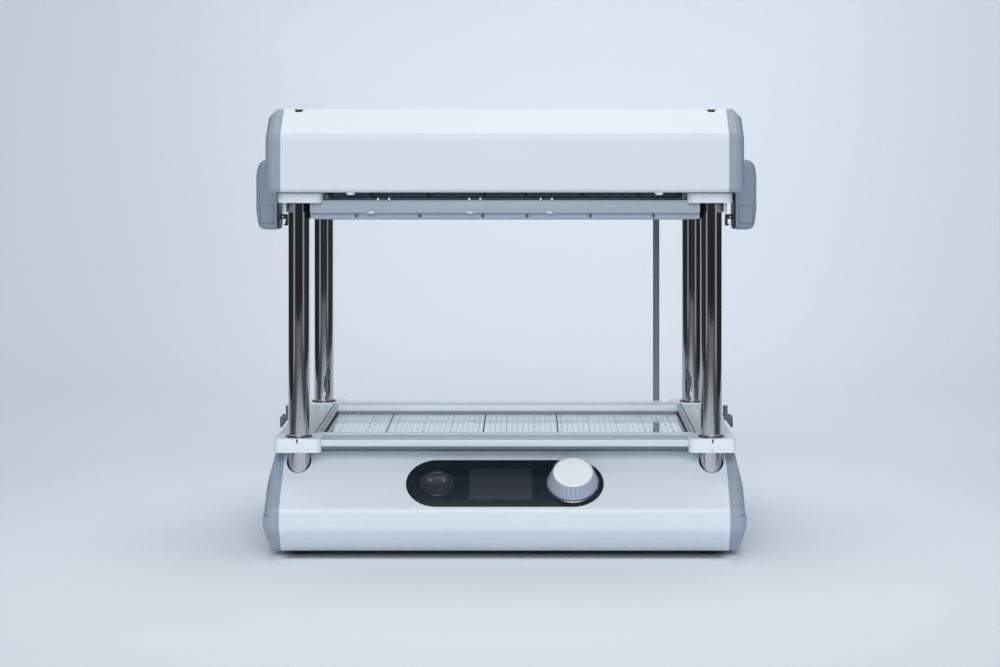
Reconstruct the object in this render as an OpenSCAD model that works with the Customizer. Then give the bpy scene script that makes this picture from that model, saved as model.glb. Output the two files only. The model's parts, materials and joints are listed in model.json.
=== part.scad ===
// Tabletop vacuum former: a base with a perforated bed, four posts, two sliding
// clamp frames and a heater housing. Millimetres, +Z up, the front faces -Y and
// the origin is on the table under the middle of the machine.

/* [Bodies] */
// Width of the base and of the heater housing between their side caps
body_w = 515; // [495:1:560]
// Thickness of a side cap at its crown
cap_t = 18; // [15:0.5:22]
// Thickness of the sheet metal
wall = 2; // [1.5:0.1:2.5]

/* [Base] */
// Depth of the base from its nose to its back
base_d = 450; // [440:1:480]
// Height of the base's flat top above the table
base_top = 115; // [110:1:125]
// Height of a foot
foot_h = 6; // [4:0.5:9]
// Diameter of a foot
foot_d = 18; // [14:1:24]
// How far the sloping control face runs back from the nose
face_run = 70; // [66:1:72]
// Height of the upper end of the upright nose
nose_top = 58; // [54:1:62]
// Height of the lower end of the upright nose
nose_low = 35; // [30:1:40]
// How far the chin is set back under the nose
chin_run = 24; // [16:1:30]
// Height of the ledge round the lower part of a base cap
ledge_z = 50; // [44:1:54]
// How far that ledge stands out
ledge_out = 1.5; // [1:0.25:2.5]

/* [Posts] */
// Diameter of a post
post_d = 25; // [20:0.5:26]
// Distance from the side of the base to the axis of a post
post_in = 17.5; // [17:0.5:20]
// Distance from the front of the base to the axis of a front post
post_back = 57.5; // [57:0.5:60]
// Diameter of a screw head on top of the housing
screw_head_d = 9.5; // [8:0.5:11]

/* [Heater housing] */
// Height of the housing's underside above the table
heat_z = 419; // [412:1:440]
// Height of the housing
heat_h = 96; // [92:1:110]
// How far the housing is set back from the front and the back of the base
heat_set = 15; // [11:0.5:18]
// How far the sloping facet runs back from the front of the housing
facet_run = 43; // [38:1:48]
// How far that facet drops
facet_drop = 29.5; // [26:0.5:32]
// Height of the reflector tray
tray_h = 62; // [56:1:70]
// Width of one ceramic heating element
element_w = 122; // [100:1:130]

/* [Clamp frames] */
// Distance from the axis of a post to the side of the sheet window
window_in = 20; // [18:0.5:25]
// Distance from the axis of a post to the front of the sheet window
window_back = 30.5; // [29:0.5:36]
// How far the lower frame's side rails reach past the axes of the posts
rail_out = 27; // [26:0.5:27.5]
// How far the upper frame's side rails reach past the axes of the posts
upper_rail_out = 18; // [17:0.5:20]
// How far both frames' front rails reach past the axes of the posts
rail_fore = 17.5; // [16:0.5:20]
// Thickness of the lower frame's plate
lower_t = 7.5; // [6:0.5:8]
// Thickness of the upper frame's plate
upper_t = 15; // [13:0.5:16]
// Thickness of a silicone seal
seal_t = 2.5; // [2:0.25:3]
// Width of a silicone seal
seal_w = 4; // [3:0.25:4]
// Gap that is left for the sheet when the frames are shut
sheet_gap = 0.5; // [0.3:0.1:1]
// Radial running clearance of a bush on its post
slide_fit = 0.05; // [0.02:0.01:0.09]

/* [Handles] */
// Length of a side handle, front to back
handle_l = 52; // [50:1:60]
// Height of a side handle
handle_h = 87; // [78:1:92]
// How far a handle stands out from its backing plate
handle_t = 26; // [22:0.5:30]

/* [Bed] */
// How far the rim of the perforated bed reaches under the lower frame
bed_under = 4; // [3.5:0.5:4]
// Height of the bed above the base's top
bed_rise = 7; // [5:0.5:7]
// Thickness of the bed plate
bed_t = 3; // [2:0.5:4]
// Diameter of a suction hole
bed_hole_d = 2.6; // [2:0.1:4]
// Distance between suction holes
bed_pitch = 34; // [28:1:40]

/* [Controls] */
// Length of the black control panel
panel_l = 228; // [220:1:240]
// Height of the black control panel, up the slope
panel_h = 71; // [66:1:72]
// Width of the display window
display_w = 72.5; // [66:0.5:78]
// Height of the display window
display_h = 47; // [42:0.5:50]
// Diameter of the power button
button_d = 30; // [24:0.5:32]
// Diameter of the knob at its base
knob_d = 58; // [50:0.5:62]
// Diameter of the knob's flat top
knob_top_d = 45; // [38:0.5:48]
// Height of the knob
knob_h = 17; // [14:0.5:22]
// Number of grip flutes round the knob
knob_flutes = 36; // [24:1:40]

/* [Cable] */
// Diameter of the heater cable
cable_d = 8.4; // [7:0.2:10]
// Distance from the side of the base to the heater cable
cable_in = 62; // [58:0.5:78]

/* [Hidden] */
$fn = 48;
eps = 0.01;

white = [0.93, 0.94, 0.95];
cap_grey = [0.58, 0.61, 0.66];
steel = [0.72, 0.73, 0.74];
black = [0.08, 0.08, 0.09];

body_half = body_w / 2;
post_x = body_half - post_in;
post_y = base_d / 2 - post_back;
post_r = post_d / 2;
heat_d = base_d - 2 * heat_set;
heat_top = heat_z + heat_h;
window_w = 2 * (post_x - window_in);
window_d = 2 * (post_y - window_back);
frame_half = post_x + rail_out;
upper_half = post_x + upper_rail_out;
frame_d = 2 * (post_y + rail_fore);
bed_w = window_w + 2 * bed_under;
bed_d = window_d + 2 * bed_under;

// The base's side profile in (y, z), and the radius at each of its corners
rear_slope = 10;
base_corners = [
    [-base_d / 2 + chin_run, foot_h],
    [base_d / 2 - rear_slope, foot_h],
    [base_d / 2, foot_h + rear_slope],
    [base_d / 2, base_top - rear_slope],
    [base_d / 2 - rear_slope, base_top],
    [-base_d / 2 + face_run, base_top],
    [-base_d / 2, nose_top],
    [-base_d / 2, nose_low]
];
base_radii = [8, 5, 5, 5, 5, 6, 8, 14];
face_slope = atan2(base_top - nose_top, face_run);

// The housing's side profile, the same way
heat_corners = [
    [-heat_d / 2, heat_z],
    [heat_d / 2, heat_z],
    [heat_d / 2, heat_top - facet_drop],
    [heat_d / 2 - facet_run, heat_top],
    [-heat_d / 2 + facet_run, heat_top],
    [-heat_d / 2, heat_top - facet_drop]
];
heat_radii = [6, 6, 8, 5, 5, 8];

// Side caps: how their edges round over, across and along the profile
cap_wall = 2.5;
cap_round_x = 9;
cap_round_in = 10;
groove = 3;
cap_waist = nose_top + 19;
cap_top_t = cap_t - 7.5;
cap_foot_t = cap_t - 7;
heat_shoulder = 11.5;
heat_cap_top_t = cap_t - 10.5;

// The pan fills the bottom of the base cover between its rounded ends
pan_inset = 10;
pan_front = -base_d / 2 + chin_run + pan_inset;
pan_rear = base_d / 2 - rear_slope - pan_inset;
pan_top = foot_h + wall;
pan_flange_t = 1.5;
pan_flange_h = 22;

// Posts stand in sockets on the pan and reach up to spacers under the housing's top
bush_t = 3;
bush_r = post_r + slide_fit + bush_t;
socket_r = post_r + 3;
socket_h = 24;
post_gap = 1.8;
post_top = heat_top - 17;
screw_seat = heat_top - 3.5;
screw_seat_t = 4;
screw_head_h = 2.8;
screw_r = 2.45;
screw_fit = 0.05;
cup_r = screw_head_d / 2 + 3;

// Foot places
foot_x = body_half - 21.5;
foot_y = base_d / 2 - 47;

// Bed and vacuum parts, stacked down from the bed's top face
bed_z = base_top + bed_rise;
box_t = 2;
box_floor = base_top - 15;
motor_d = 110;
motor_seal_t = 3;
outlet_r = 22;
bed_gap = 0.3;
bed_rim = 1;
bed_moat = 3;
gasket_w = 3.5;
supply_w = 100;
supply_d = 150;
supply_h = 42;
supply_in = 152.5;
supply_x = body_half - supply_in;
supply_slot = 6;
bed_opening_gap = 1;

// Lower frame, resting on pads
rest_pad_h = 2.8;
rest_pad_r = 4.5;
rest_pad_in = 20;
rest_gap = 0.2;
lower_collar_z = base_top + rest_pad_h + rest_gap;
lower_z = base_top + 9.5;
lower_top = lower_z + lower_t;
lower_seal_top = lower_top + seal_t;
lower_collar_top = lower_seal_top - 0.5;
collar_half = 26;
collar_out = 27.5;
collar_round = 8;
slit = 2;

// Upper frame, parked under the housing; its plate is slotted round the posts
park_gap = 1.5;
upper_collar_h = 11;
upper_collar_top = heat_z - park_gap;
upper_collar_z = upper_collar_top - upper_collar_h;
upper_collar_in = 29;
upper_collar_out = 23;
collar_lap = 3;
collar_fit = 0.1;
upper_top = upper_collar_z + collar_lap;
upper_z = upper_top - upper_t;
upper_slot_r = post_r + 1.3;
bush_lip = 1.5;
ring_h = 7;
ring_inset = 6;
ring_z = upper_z - ring_h;
upper_seal_z = ring_z - seal_t;
travel = upper_seal_z - lower_seal_top - sheet_gap;
screw_step = window_w / 6;

// Handles ride beside the housing's caps, each on an arm from the upper frame
handle_in = body_half + cap_t + 3.5;
plate_t = 2;
shell_in = handle_in + plate_t;
handle_top = heat_z + 34;
handle_z = handle_top - handle_h;
handle_wall = 4;
handle_round = 8;
arm_top = heat_z - 5;
arm_h = 11;
arm_half = 18;
magnet_r = 4.5;

// Latches hang between two ears of each handle plate; their barbs swing out
// under a bar that two cheeks hold beside the lower frame
pin_r = 1.2;
pin_x = handle_in - 3.5;
pin_z = ring_z - 5.2;
eye_r = 2.7;
latch_half = 6;
ear_t = 2.5;
ear_gap = 0.5;
ear_reach = 5.5;
hook_x = pin_x - 5.5;
hook_t = 2.7;
hook_drop = 11;
barb_reach = 1.9;
barb_h = 2;
bar_r = 1.5;
bar_x0 = pin_x + 1.5;
bar_z = pin_z - travel - 6.8;
cheek_y = latch_half + ear_gap + ear_t + 1.5;
cheek_t = 2;
cheek_out = handle_in - 0.5;
cheek_top = pin_z - travel + 4.2;
buffer_y = 23;
buffer_r = 3;
buffer_h = 15;

// Control panel, in its own frame: x across, y up the slope, z out of the face
panel_t = 0.6;
panel_flange = 4;
panel_back = -wall - 2;
panel_fit = 0.2;
panel_mid = 0.44;
panel_y = -base_d / 2 + face_run * panel_mid;
panel_z = nose_top + (base_top - nose_top) * panel_mid;
control_x = (panel_l - panel_h) / 2;
display_x = -4.75;
display_y = -1.5;
lens_t = 1.2;
module_border = 3;
module_t = 5;
board_t = 1.6;
board_side = 10;
board_end = 6;
board_z = panel_back - 9;
button_fit = 0.3;
button_flange = 1.5;
button_lip = 1.5;
button_travel = 1.2;
button_out = 1.2;
shaft_r = 3;
shaft_fit = 0.05;
knob_lift = 1.8;
knob_press = 0.8;
knob_z = panel_t + knob_lift;
knob_cap_t = 2.2;
encoder_w = 14;
encoder_z = board_z + board_t;
encoder_h = 6.4;
bush_top = panel_t + 1;

// Heater parts
lip_w = 24;
tray_w = window_w + 30;
tray_d = window_d + 26;
tray_t = 1.5;
tray_z = heat_z + wall;
tray_rim_w = body_w - 6;
tray_rim_d = heat_d - 2 * wall - 12;
element_t = 13;
element_gap = 14;
element_in = 19.5;
element_d = (tray_d - 2 * tray_t - 2 * element_in - element_gap) / 2;
element_dish = element_w;
element_neck_w = 44;
element_neck_d = 16;
element_z = tray_z + 22;
pad_h = 18;

// Cable places
cable_x = body_half - cable_in;
cable_y = heat_d / 2 - 9;
gland_flange_r = cable_d / 2 + 3.6;
gland_neck_r = cable_d / 2 + 1.6;
gland_h = 7;
gland_in = 6;

inlet_x = body_half - 107.5;
inlet_w = 28;
inlet_h = 20;
inlet_z = foot_h + 42;
rear_w = body_w - 135;
rear_h = 66;
rear_border = 6;
rear_t = 1.5;
rear_mid = (foot_h + base_top) / 2;

// Geometry helpers
function unit(v) = v / norm(v);

// A corner at p between a and b as an arc of n steps
function arc_corner(a, p, b, r, n) =
    let (
        u = unit(a - p),
        w = unit(b - p),
        half = acos(u * w) / 2,
        c = p + unit(u + w) * r / sin(half),
        s = p + u * r / tan(half) - c,
        e = p + w * r / tan(half) - c,
        turn = (180 - 2 * half) * sign(s[0] * e[1] - s[1] * e[0])
    )
    [for (i = [0:n]) c + [
        s[0] * cos(turn * i / n) - s[1] * sin(turn * i / n),
        s[0] * sin(turn * i / n) + s[1] * cos(turn * i / n)
    ]];

// An outline with every corner rounded, n steps a corner
function rounded(pts, radii, n = 4) =
    let (m = len(pts))
    [for (i = [0:m - 1]) each arc_corner(pts[(i + m - 1) % m], pts[i], pts[(i + 1) % m], radii[i], n)];

// A counter-clockwise outline moved in by d
function inset(pts, d) =
    let (m = len(pts))
    [for (i = [0:m - 1])
        let (
            e = unit(pts[i] - pts[(i + m - 1) % m]),
            f = unit(pts[(i + 1) % m] - pts[i]),
            a = [-e[1], e[0]],
            b = [-f[1], f[0]]
        )
        pts[i] + (a + b) * d / (1 + a * b)];

function less(radii, d) = [for (r = radii) max(r - d, 0.6)];

// A solid through copies of one outline; each station is [place along the axis, inset]
module loft(pts, radii, stations, n = 3) {
    rings = [for (s = stations) rounded(inset(pts, s[1]), less(radii, s[1]), n)];
    m = len(rings[0]);
    k = len(stations);
    polyhedron(
        points = [for (i = [0:k - 1]) for (p = rings[i]) [p[0], p[1], stations[i][0]]],
        faces = [
            [for (j = [0:m - 1]) j],
            [for (j = [0:m - 1]) (k - 1) * m + m - 1 - j],
            for (i = [0:k - 2]) for (j = [0:m - 1])
                [i * m + j, (i + 1) * m + j, (i + 1) * m + (j + 1) % m, i * m + (j + 1) % m]
        ]
    );
}

// Turn a (y, z) outline that is extruded along z into a solid that runs along +X
module side_on() {
    rotate([90, 0, 90]) children();
}

module bar_x(w) {
    translate([-w / 2, 0, 0]) side_on() linear_extrude(w) children();
}

module rounded_rect(w, d, r) {
    square([w - 2 * r, d], center = true);
    square([w, d - 2 * r], center = true);
    for (x = [-1, 1], y = [-1, 1]) {
        translate([x * (w / 2 - r), y * (d / 2 - r)]) circle(r);
    }
}

module capsule(l, h) {
    square([l - h, h], center = true);
    for (x = [-1, 1]) {
        translate([x * (l - h) / 2, 0]) circle(h / 2, $fn = 96);
    }
}

module disc(r, z0, z1) {
    translate([0, 0, z0]) cylinder(r = r, h = z1 - z0);
}

module block(x0, x1, y0, y1, z0, z1) {
    translate([x0, y0, z0]) cube([x1 - x0, y1 - y0, z1 - z0]);
}

module at_posts() {
    for (x = [-1, 1], y = [-1, 1]) {
        translate([x * post_x, y * post_y, 0]) children();
    }
}

module on_panel() {
    translate([0, panel_y, panel_z]) rotate([face_slope, 0, 0]) children();
}

module both_sides() {
    children();
    mirror([1, 0, 0]) children();
}

// Base casing
module base_cover() {
    color(white) difference() {
        bar_x(body_w) polygon(rounded(base_corners, base_radii));
        bar_x(body_w + 2) polygon(rounded(inset(base_corners, wall), less(base_radii, wall)));
        block(-body_w, body_w, pan_front, pan_rear, 0, pan_top + eps);
        bed_cut = bed_opening_gap * 2;
        translate([0, 0, base_top - wall - 1]) linear_extrude(wall + 2) {
            rounded_rect(bed_w + bed_cut, bed_d + bed_cut, 8);
        }
        at_posts() disc(post_r + post_gap, pan_top + wall, base_top + 1);
        on_panel() translate([0, 0, -wall - 3]) linear_extrude(wall + 6) {
            capsule(panel_l + panel_fit, panel_h + panel_fit);
        }
        translate([cable_x, cable_y, 0]) disc(gland_neck_r, base_top - wall - 1, base_top + 1);
        block(-rear_w / 2 + rear_border, rear_w / 2 - rear_border, base_d / 2 - wall - 1, base_d / 2 + 1,
            rear_mid - rear_h / 2 + rear_border, rear_mid + rear_h / 2 - rear_border);
    }
}

module base_pan() {
    color(steel) difference() {
        union() {
            block(-body_half, body_half, pan_front, pan_rear, foot_h, pan_top);
            both_sides() block(body_half - pan_flange_t, body_half, pan_front + 4, pan_rear - 4,
                pan_top - eps, pan_top + pan_flange_h);
        }
        for (i = [-6:6], s = [-1, 1]) {
            translate([i * 14, s * (base_d / 2 - 107), foot_h - 1]) linear_extrude(wall + 2)
                rotate(90) capsule(34, 5);
        }
        at_posts() disc(3, foot_h - 1, pan_top + 1);
    }
}

// The front outline of a side cap as (x, z) pairs, moved in by d and drawn out along y
module cap_front(pts, d) {
    translate([0, base_d, 0]) rotate([90, 0, 0]) linear_extrude(2 * base_d) polygon([
        [-2, pts[0][1] - 1],
        for (p = pts) [p[0] - d, p[1]],
        [-2, pts[len(pts) - 1][1]]
    ]);
}

// A side cap: a hollow moulding that rounds over to its outer face
module side_cap(corners, radii, thick, front) {
    difference() {
        intersection() {
            side_on() loft(corners, radii, [
                [0, 0],
                for (a = [0:30:90]) [thick - cap_round_x * (1 - sin(a)), cap_round_in * (1 - cos(a))]
            ]);
            cap_front(front, 0);
        }
        intersection() {
            translate([-1, 0, 0]) side_on() loft(corners, radii, [
                [0, cap_wall],
                [thick - cap_wall - cap_round_x + 1, cap_wall],
                [thick - cap_wall + 1, cap_wall + cap_round_in]
            ]);
            cap_front(front, cap_wall);
        }
    }
}

module base_cap() {
    front = [
        [cap_foot_t, foot_h - 1], [cap_t + ledge_out, ledge_z - 11],
        [cap_t + ledge_out, ledge_z + groove], [cap_t, cap_waist],
        [cap_top_t, base_top], [cap_top_t, base_top + 1]
    ];
    color(cap_grey) translate([body_half, 0, 0]) {
        intersection() {
            side_cap(base_corners, base_radii, cap_t, front);
            block(-1, cap_t + 9, -base_d, base_d, ledge_z + groove, base_top + 1);
        }
        intersection() {
            side_cap(base_corners, base_radii, cap_t - 1, front);
            block(-1, cap_t + 9, -base_d, base_d, ledge_z - eps, ledge_z + groove + eps);
        }
        intersection() {
            side_cap(base_corners, base_radii, cap_t + ledge_out, front);
            block(-1, cap_t + 9, -base_d, base_d, 0, ledge_z);
        }
    }
}

module base_cap_left() {
    mirror([1, 0, 0]) base_cap();
}

module base_cap_right() {
    base_cap();
}

module feet() {
    color(black) for (x = [-1, 1], y = [-1, 1]) {
        translate([x * foot_x, y * foot_y, 0]) rotate_extrude() polygon([
            [0, 0], [foot_d / 2 - 1.5, 0], [foot_d / 2 - 0.5, 1], [foot_d / 2, foot_h], [0, foot_h]
        ]);
    }
}

module rest_pads() {
    color(black) for (x = [-1, 1], y = [-1, 1]) {
        translate([x * post_x, y * (post_y - rest_pad_in), 0])
            disc(rest_pad_r, base_top, base_top + rest_pad_h);
    }
}

module rear_panel() {
    color(cap_grey) difference() {
        block(-rear_w / 2, rear_w / 2, base_d / 2 - wall - rear_t, base_d / 2 - wall,
            rear_mid - rear_h / 2, rear_mid + rear_h / 2);
        for (i = [-9:5]) {
            translate([i * 12 - 40, base_d / 2 - wall - rear_t - 1, rear_mid]) rotate([-90, 0, 0])
                linear_extrude(rear_t + 2) rotate(90) capsule(40, 5);
        }
        block(inlet_x - inlet_w / 2, inlet_x + inlet_w / 2, base_d / 2 - wall - rear_t - 1, base_d / 2,
            inlet_z - inlet_h / 2, inlet_z + inlet_h / 2);
    }
}

module mains_inlet() {
    depth = 17;
    color(black) translate([inlet_x, base_d / 2, inlet_z]) rotate([90, 0, 0]) {
        difference() {
            union() {
                linear_extrude(wall) rounded_rect(inlet_w + 8, inlet_h + 6, 2);
                translate([0, 0, wall - eps]) linear_extrude(24) square([inlet_w, inlet_h], center = true);
            }
            translate([0, 0, -1]) linear_extrude(depth + 1) rounded_rect(inlet_w - 4, inlet_h - 4, 2);
        }
        for (p = [[-7, -1.4], [0, 1.4], [7, -1.4]]) {
            translate([p[0] - 1, p[1] - 2, 3]) cube([2, 4, depth - 3 + eps]);
        }
    }
}

// Controls
module control_panel() {
    color(black) on_panel() difference() {
        union() {
            translate([0, 0, panel_back]) linear_extrude(panel_t - panel_back) capsule(panel_l, panel_h);
            translate([0, 0, panel_back]) linear_extrude(-wall - panel_back) {
                capsule(panel_l + 2 * panel_flange, panel_h);
            }
        }
        translate([display_x, display_y, panel_back - 1]) linear_extrude(panel_t - panel_back + 2) {
            square([display_w - 4, display_h - 4], center = true);
        }
        translate([display_x, display_y, panel_t - lens_t]) linear_extrude(lens_t + 1) {
            square([display_w, display_h], center = true);
        }
        translate([-control_x, 0, 0]) disc(button_d / 2 + button_fit, panel_back - 1, panel_t + 1);
        translate([control_x, 0, 0]) disc(shaft_r + 1.6, panel_back - 1, panel_t + 1);
    }
}

module display_lens() {
    color([0.15, 0.17, 0.2]) on_panel() {
        translate([display_x, display_y, panel_t - lens_t]) linear_extrude(lens_t) {
            square([display_w, display_h], center = true);
        }
    }
}

module display_module() {
    color([0.2, 0.2, 0.22]) on_panel() translate([display_x, display_y, panel_back - module_t]) {
        linear_extrude(module_t) {
            square([display_w + 2 * module_border, display_h + 2 * module_border], center = true);
        }
    }
}

module control_board() {
    color([0.1, 0.35, 0.2]) on_panel() union() {
        translate([0, 0, board_z]) linear_extrude(board_t) {
            rounded_rect(panel_l - 2 * board_side, panel_h - 2 * board_end, 4);
        }
        for (x = [-1, 1], y = [-1, 1]) {
            translate([x * (panel_l / 2 - 2 * board_side), y * (panel_h / 2 - 2 * board_end), 0]) {
                disc(2.5, board_z + board_t - eps, panel_back);
            }
        }
    }
}

module power_bezel() {
    color(black) on_panel() translate([-control_x, 0, panel_t]) rotate_extrude() polygon([
        [button_d / 2 + button_fit, 0],
        [button_d / 2 + 4.5, 0],
        [button_d / 2 + 3.5, 1],
        [button_d / 2 + button_fit, 0.6]
    ]);
}

module power_switch() {
    color([0.3, 0.3, 0.32]) on_panel() translate([-control_x, 0, 0]) {
        switch_top = panel_back - button_lip - button_flange - button_travel - 0.3;
        translate([-6, -6, board_z + board_t]) cube([12, 12, switch_top - board_z - board_t]);
    }
}

module power_button() {
    color(black) on_panel() translate([-control_x, 0, 0]) {
        disc(button_d / 2, panel_back - button_lip, panel_t + button_out - 0.8);
        translate([0, 0, panel_t + button_out - 0.8])
            cylinder(r1 = button_d / 2, r2 = button_d / 2 - 0.8, h = 0.8);
        disc(button_d / 2 + 2, panel_back - button_lip - button_flange + 1.2, panel_back - 0.3);
        disc(3, panel_back - button_lip - button_flange, panel_back - button_lip + eps);
    }
}

module knob_bezel() {
    color(white) on_panel() translate([control_x, 0, panel_t]) rotate_extrude() polygon([
        [knob_d / 2 - 6, 0], [knob_d / 2 + 1.5, 0], [knob_d / 2 + 0.8, 0.8], [knob_d / 2 - 6, 0.8]
    ]);
}

module encoder() {
    color(steel) on_panel() translate([control_x, 0, 0]) difference() {
        union() {
            translate([-encoder_w / 2, -encoder_w / 2, encoder_z]) cube([encoder_w, encoder_w, encoder_h]);
            disc(shaft_r + 1.5, encoder_z + encoder_h - eps, bush_top);
        }
        disc(shaft_r + shaft_fit, encoder_z + 2, bush_top + 1);
    }
}

module encoder_shaft() {
    color(steel) on_panel() translate([control_x, 0, 0]) {
        disc(shaft_r, encoder_z + 2 + knob_press + 0.2, knob_z + knob_h - knob_cap_t - 1.2);
    }
}

module knob_skirt() {
    r0 = knob_d / 2;
    r1 = knob_top_d / 2;
    body_h = knob_h - knob_cap_t;
    lean = atan2(r0 - r1, body_h);
    hub_r = shaft_r + 3;
    color(cap_grey) on_panel() translate([control_x, 0, knob_z]) difference() {
        rotate_extrude($fn = 96) polygon([
            [shaft_r + shaft_fit, 0.5], [hub_r, 0.5], [hub_r, body_h - 3], [r1 - 3, body_h - 3],
            [r0 - 3, 0], [r0, 0], [r0, 1.5], [r1 + 0.4, body_h], [shaft_r + shaft_fit, body_h]
        ]);
        for (i = [0:knob_flutes - 1]) {
            rotate(360 * i / knob_flutes) translate([r0 + 0.55, 0, 2.5]) rotate([0, -lean, 0]) {
                cylinder(r = 1.3, h = body_h * 2, $fn = 24);
            }
        }
    }
}

module knob_cap() {
    color(white) on_panel() translate([control_x, 0, knob_z + knob_h - knob_cap_t]) {
        r = knob_top_d / 2;
        rotate_extrude($fn = 96) polygon([
            [0, 0], [r, 0], [r, knob_cap_t - 1],
            [r - 1, knob_cap_t - 0.2], [r - 3, knob_cap_t], [0, knob_cap_t]
        ]);
    }
}

// Bed and vacuum parts
bed_nx = floor((bed_w - 30) / bed_pitch / 2);
bed_ny = floor((bed_d - 30) / bed_pitch / 2);

module bed_plate() {
    color([0.86, 0.87, 0.88]) difference() {
        union() {
            translate([0, 0, bed_z - bed_t]) linear_extrude(bed_t - bed_rim) rounded_rect(bed_w, bed_d, 6);
            translate([0, 0, bed_z - bed_t]) linear_extrude(bed_t) {
                rounded_rect(window_w - 2 * bed_moat, window_d - 2 * bed_moat, 3);
            }
        }
        for (i = [-bed_nx:bed_nx], j = [-bed_ny:bed_ny]) {
            translate([i * bed_pitch, j * bed_pitch, 0]) disc(bed_hole_d / 2, bed_z - bed_t - 1, bed_z + 1);
        }
    }
}

module bed_gasket() {
    gasket_z = bed_z - bed_rim;
    color(black) translate([0, 0, gasket_z]) linear_extrude(lower_z - bed_gap - gasket_z) difference() {
        rounded_rect(window_w + 2 * gasket_w, window_d + 2 * gasket_w, 4);
        square([window_w, window_d], center = true);
    }
}

module vacuum_box() {
    color(steel) difference() {
        translate([0, 0, box_floor]) linear_extrude(bed_z - bed_t - box_floor) rounded_rect(bed_w, bed_d, 6);
        translate([0, 0, box_floor + box_t]) linear_extrude(bed_z - box_floor) {
            rounded_rect(bed_w - 2 * box_t, bed_d - 2 * box_t, 5);
        }
        disc(outlet_r, box_floor - 1, box_floor + box_t + 1);
    }
}

module motor_seal() {
    color(black) translate([0, 0, box_floor - motor_seal_t]) linear_extrude(motor_seal_t) difference() {
        circle(motor_d / 2 - 8);
        circle(outlet_r);
    }
}

module vacuum_motor() {
    top = box_floor - motor_seal_t;
    color(steel) difference() {
        union() {
            disc(motor_d / 2, top - 34, top);
            disc(motor_d / 2 - 12, pan_top + 8, top - 34 + eps);
            disc(motor_d / 2 - 30, pan_top, pan_top + 8 + eps);
        }
        disc(outlet_r, top - 26, top + 1);
        for (a = [0:30:330]) {
            rotate(a) translate([motor_d / 2 - 18, -4, pan_top + 16]) cube([20, 8, 20]);
        }
    }
}

module power_supply() {
    color(steel) translate([-supply_x, -20, pan_top]) difference() {
        block(-supply_w, 0, 0, supply_d, 0, supply_h);
        for (i = [1:floor(supply_d / supply_slot / 2) - 1]) {
            block(1 - supply_w, -1, (2 * i - 0.5) * supply_slot, (2 * i + 0.5) * supply_slot,
                supply_h - 1, supply_h + 1);
        }
    }
}

// Posts and their fixings
module post(x, y) {
    color(steel) translate([x * post_x, y * post_y, 0]) difference() {
        union() {
            disc(post_r, pan_top, post_top - 1);
            translate([0, 0, post_top - 1]) cylinder(r1 = post_r, r2 = post_r - 1, h = 1);
        }
        disc(screw_r + screw_fit, post_top - 22, post_top + 1);
    }
}

module post_front_left() {
    post(-1, -1);
}

module post_front_right() {
    post(1, -1);
}

module post_rear_left() {
    post(-1, 1);
}

module post_rear_right() {
    post(1, 1);
}

module post_sockets() {
    color(steel) at_posts() difference() {
        disc(socket_r, pan_top, pan_top + socket_h);
        disc(post_r, pan_top - 1, pan_top + socket_h + 1);
    }
}

module post_spacers() {
    color(steel) at_posts() difference() {
        disc(cup_r - 2, post_top, screw_seat - screw_seat_t);
        disc(screw_r + screw_fit, post_top - 1, screw_seat);
    }
}

module post_screws() {
    color(black) at_posts() difference() {
        union() {
            disc(screw_r, post_top - 16, screw_seat + eps);
            translate([0, 0, screw_seat]) rotate_extrude() polygon([
                [0, 0], [screw_head_d / 2, 0], [screw_head_d / 2, 0.8],
                [screw_head_d / 2 - 1.6, screw_head_h],
                [0, screw_head_h]
            ]);
        }
        translate([0, 0, screw_seat + 1]) cylinder(r = 1.7, h = 3, $fn = 6);
    }
}

// Heater housing
module heater_cover() {
    color(white) difference() {
        union() {
            difference() {
                bar_x(body_w) polygon(rounded(heat_corners, heat_radii));
                bar_x(body_w + 2) polygon(rounded(inset(heat_corners, wall), less(heat_radii, wall)));
            }
            intersection() {
                bar_x(body_w) polygon(rounded(heat_corners, heat_radii));
                at_posts() disc(cup_r, screw_seat - screw_seat_t, heat_top);
            }
        }
        block(-body_w, body_w, -heat_d / 2 + lip_w, heat_d / 2 - lip_w, heat_z - 1, heat_z + wall + 1);
        at_posts() disc(screw_head_d / 2 + 0.8, screw_seat, heat_top + 1);
        at_posts() disc(screw_r + screw_fit, screw_seat - 5, heat_top);
        translate([cable_x, cable_y, 0]) disc(gland_neck_r, heat_z - 1, heat_z + wall + 1);
    }
}

module heater_cap() {
    front = [
        [cap_t, heat_z - 1], [cap_t, heat_top - heat_shoulder],
        [heat_cap_top_t, heat_top], [heat_cap_top_t, heat_top + 1]
    ];
    color(cap_grey) translate([body_half, 0, 0]) side_cap(heat_corners, heat_radii, cap_t, front);
}

module heater_cap_left() {
    mirror([1, 0, 0]) heater_cap();
}

module heater_cap_right() {
    heater_cap();
}

module heater_tray() {
    color([0.85, 0.86, 0.87]) difference() {
        union() {
            translate([0, 0, tray_z]) linear_extrude(tray_t) square([tray_rim_w, tray_rim_d], center = true);
            translate([0, 0, tray_z]) linear_extrude(tray_h) rounded_rect(tray_w, tray_d, 4);
        }
        translate([0, 0, tray_z - 1]) linear_extrude(tray_h + 1 - tray_t) {
            rounded_rect(tray_w - 2 * tray_t, tray_d - 2 * tray_t, 2.5);
        }
        at_posts() disc(post_r + 1, tray_z - 1, tray_z + tray_t + 1);
        translate([cable_x, cable_y, 0]) disc(gland_neck_r + 1, tray_z - 1, tray_z + tray_t + 1);
    }
}

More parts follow.
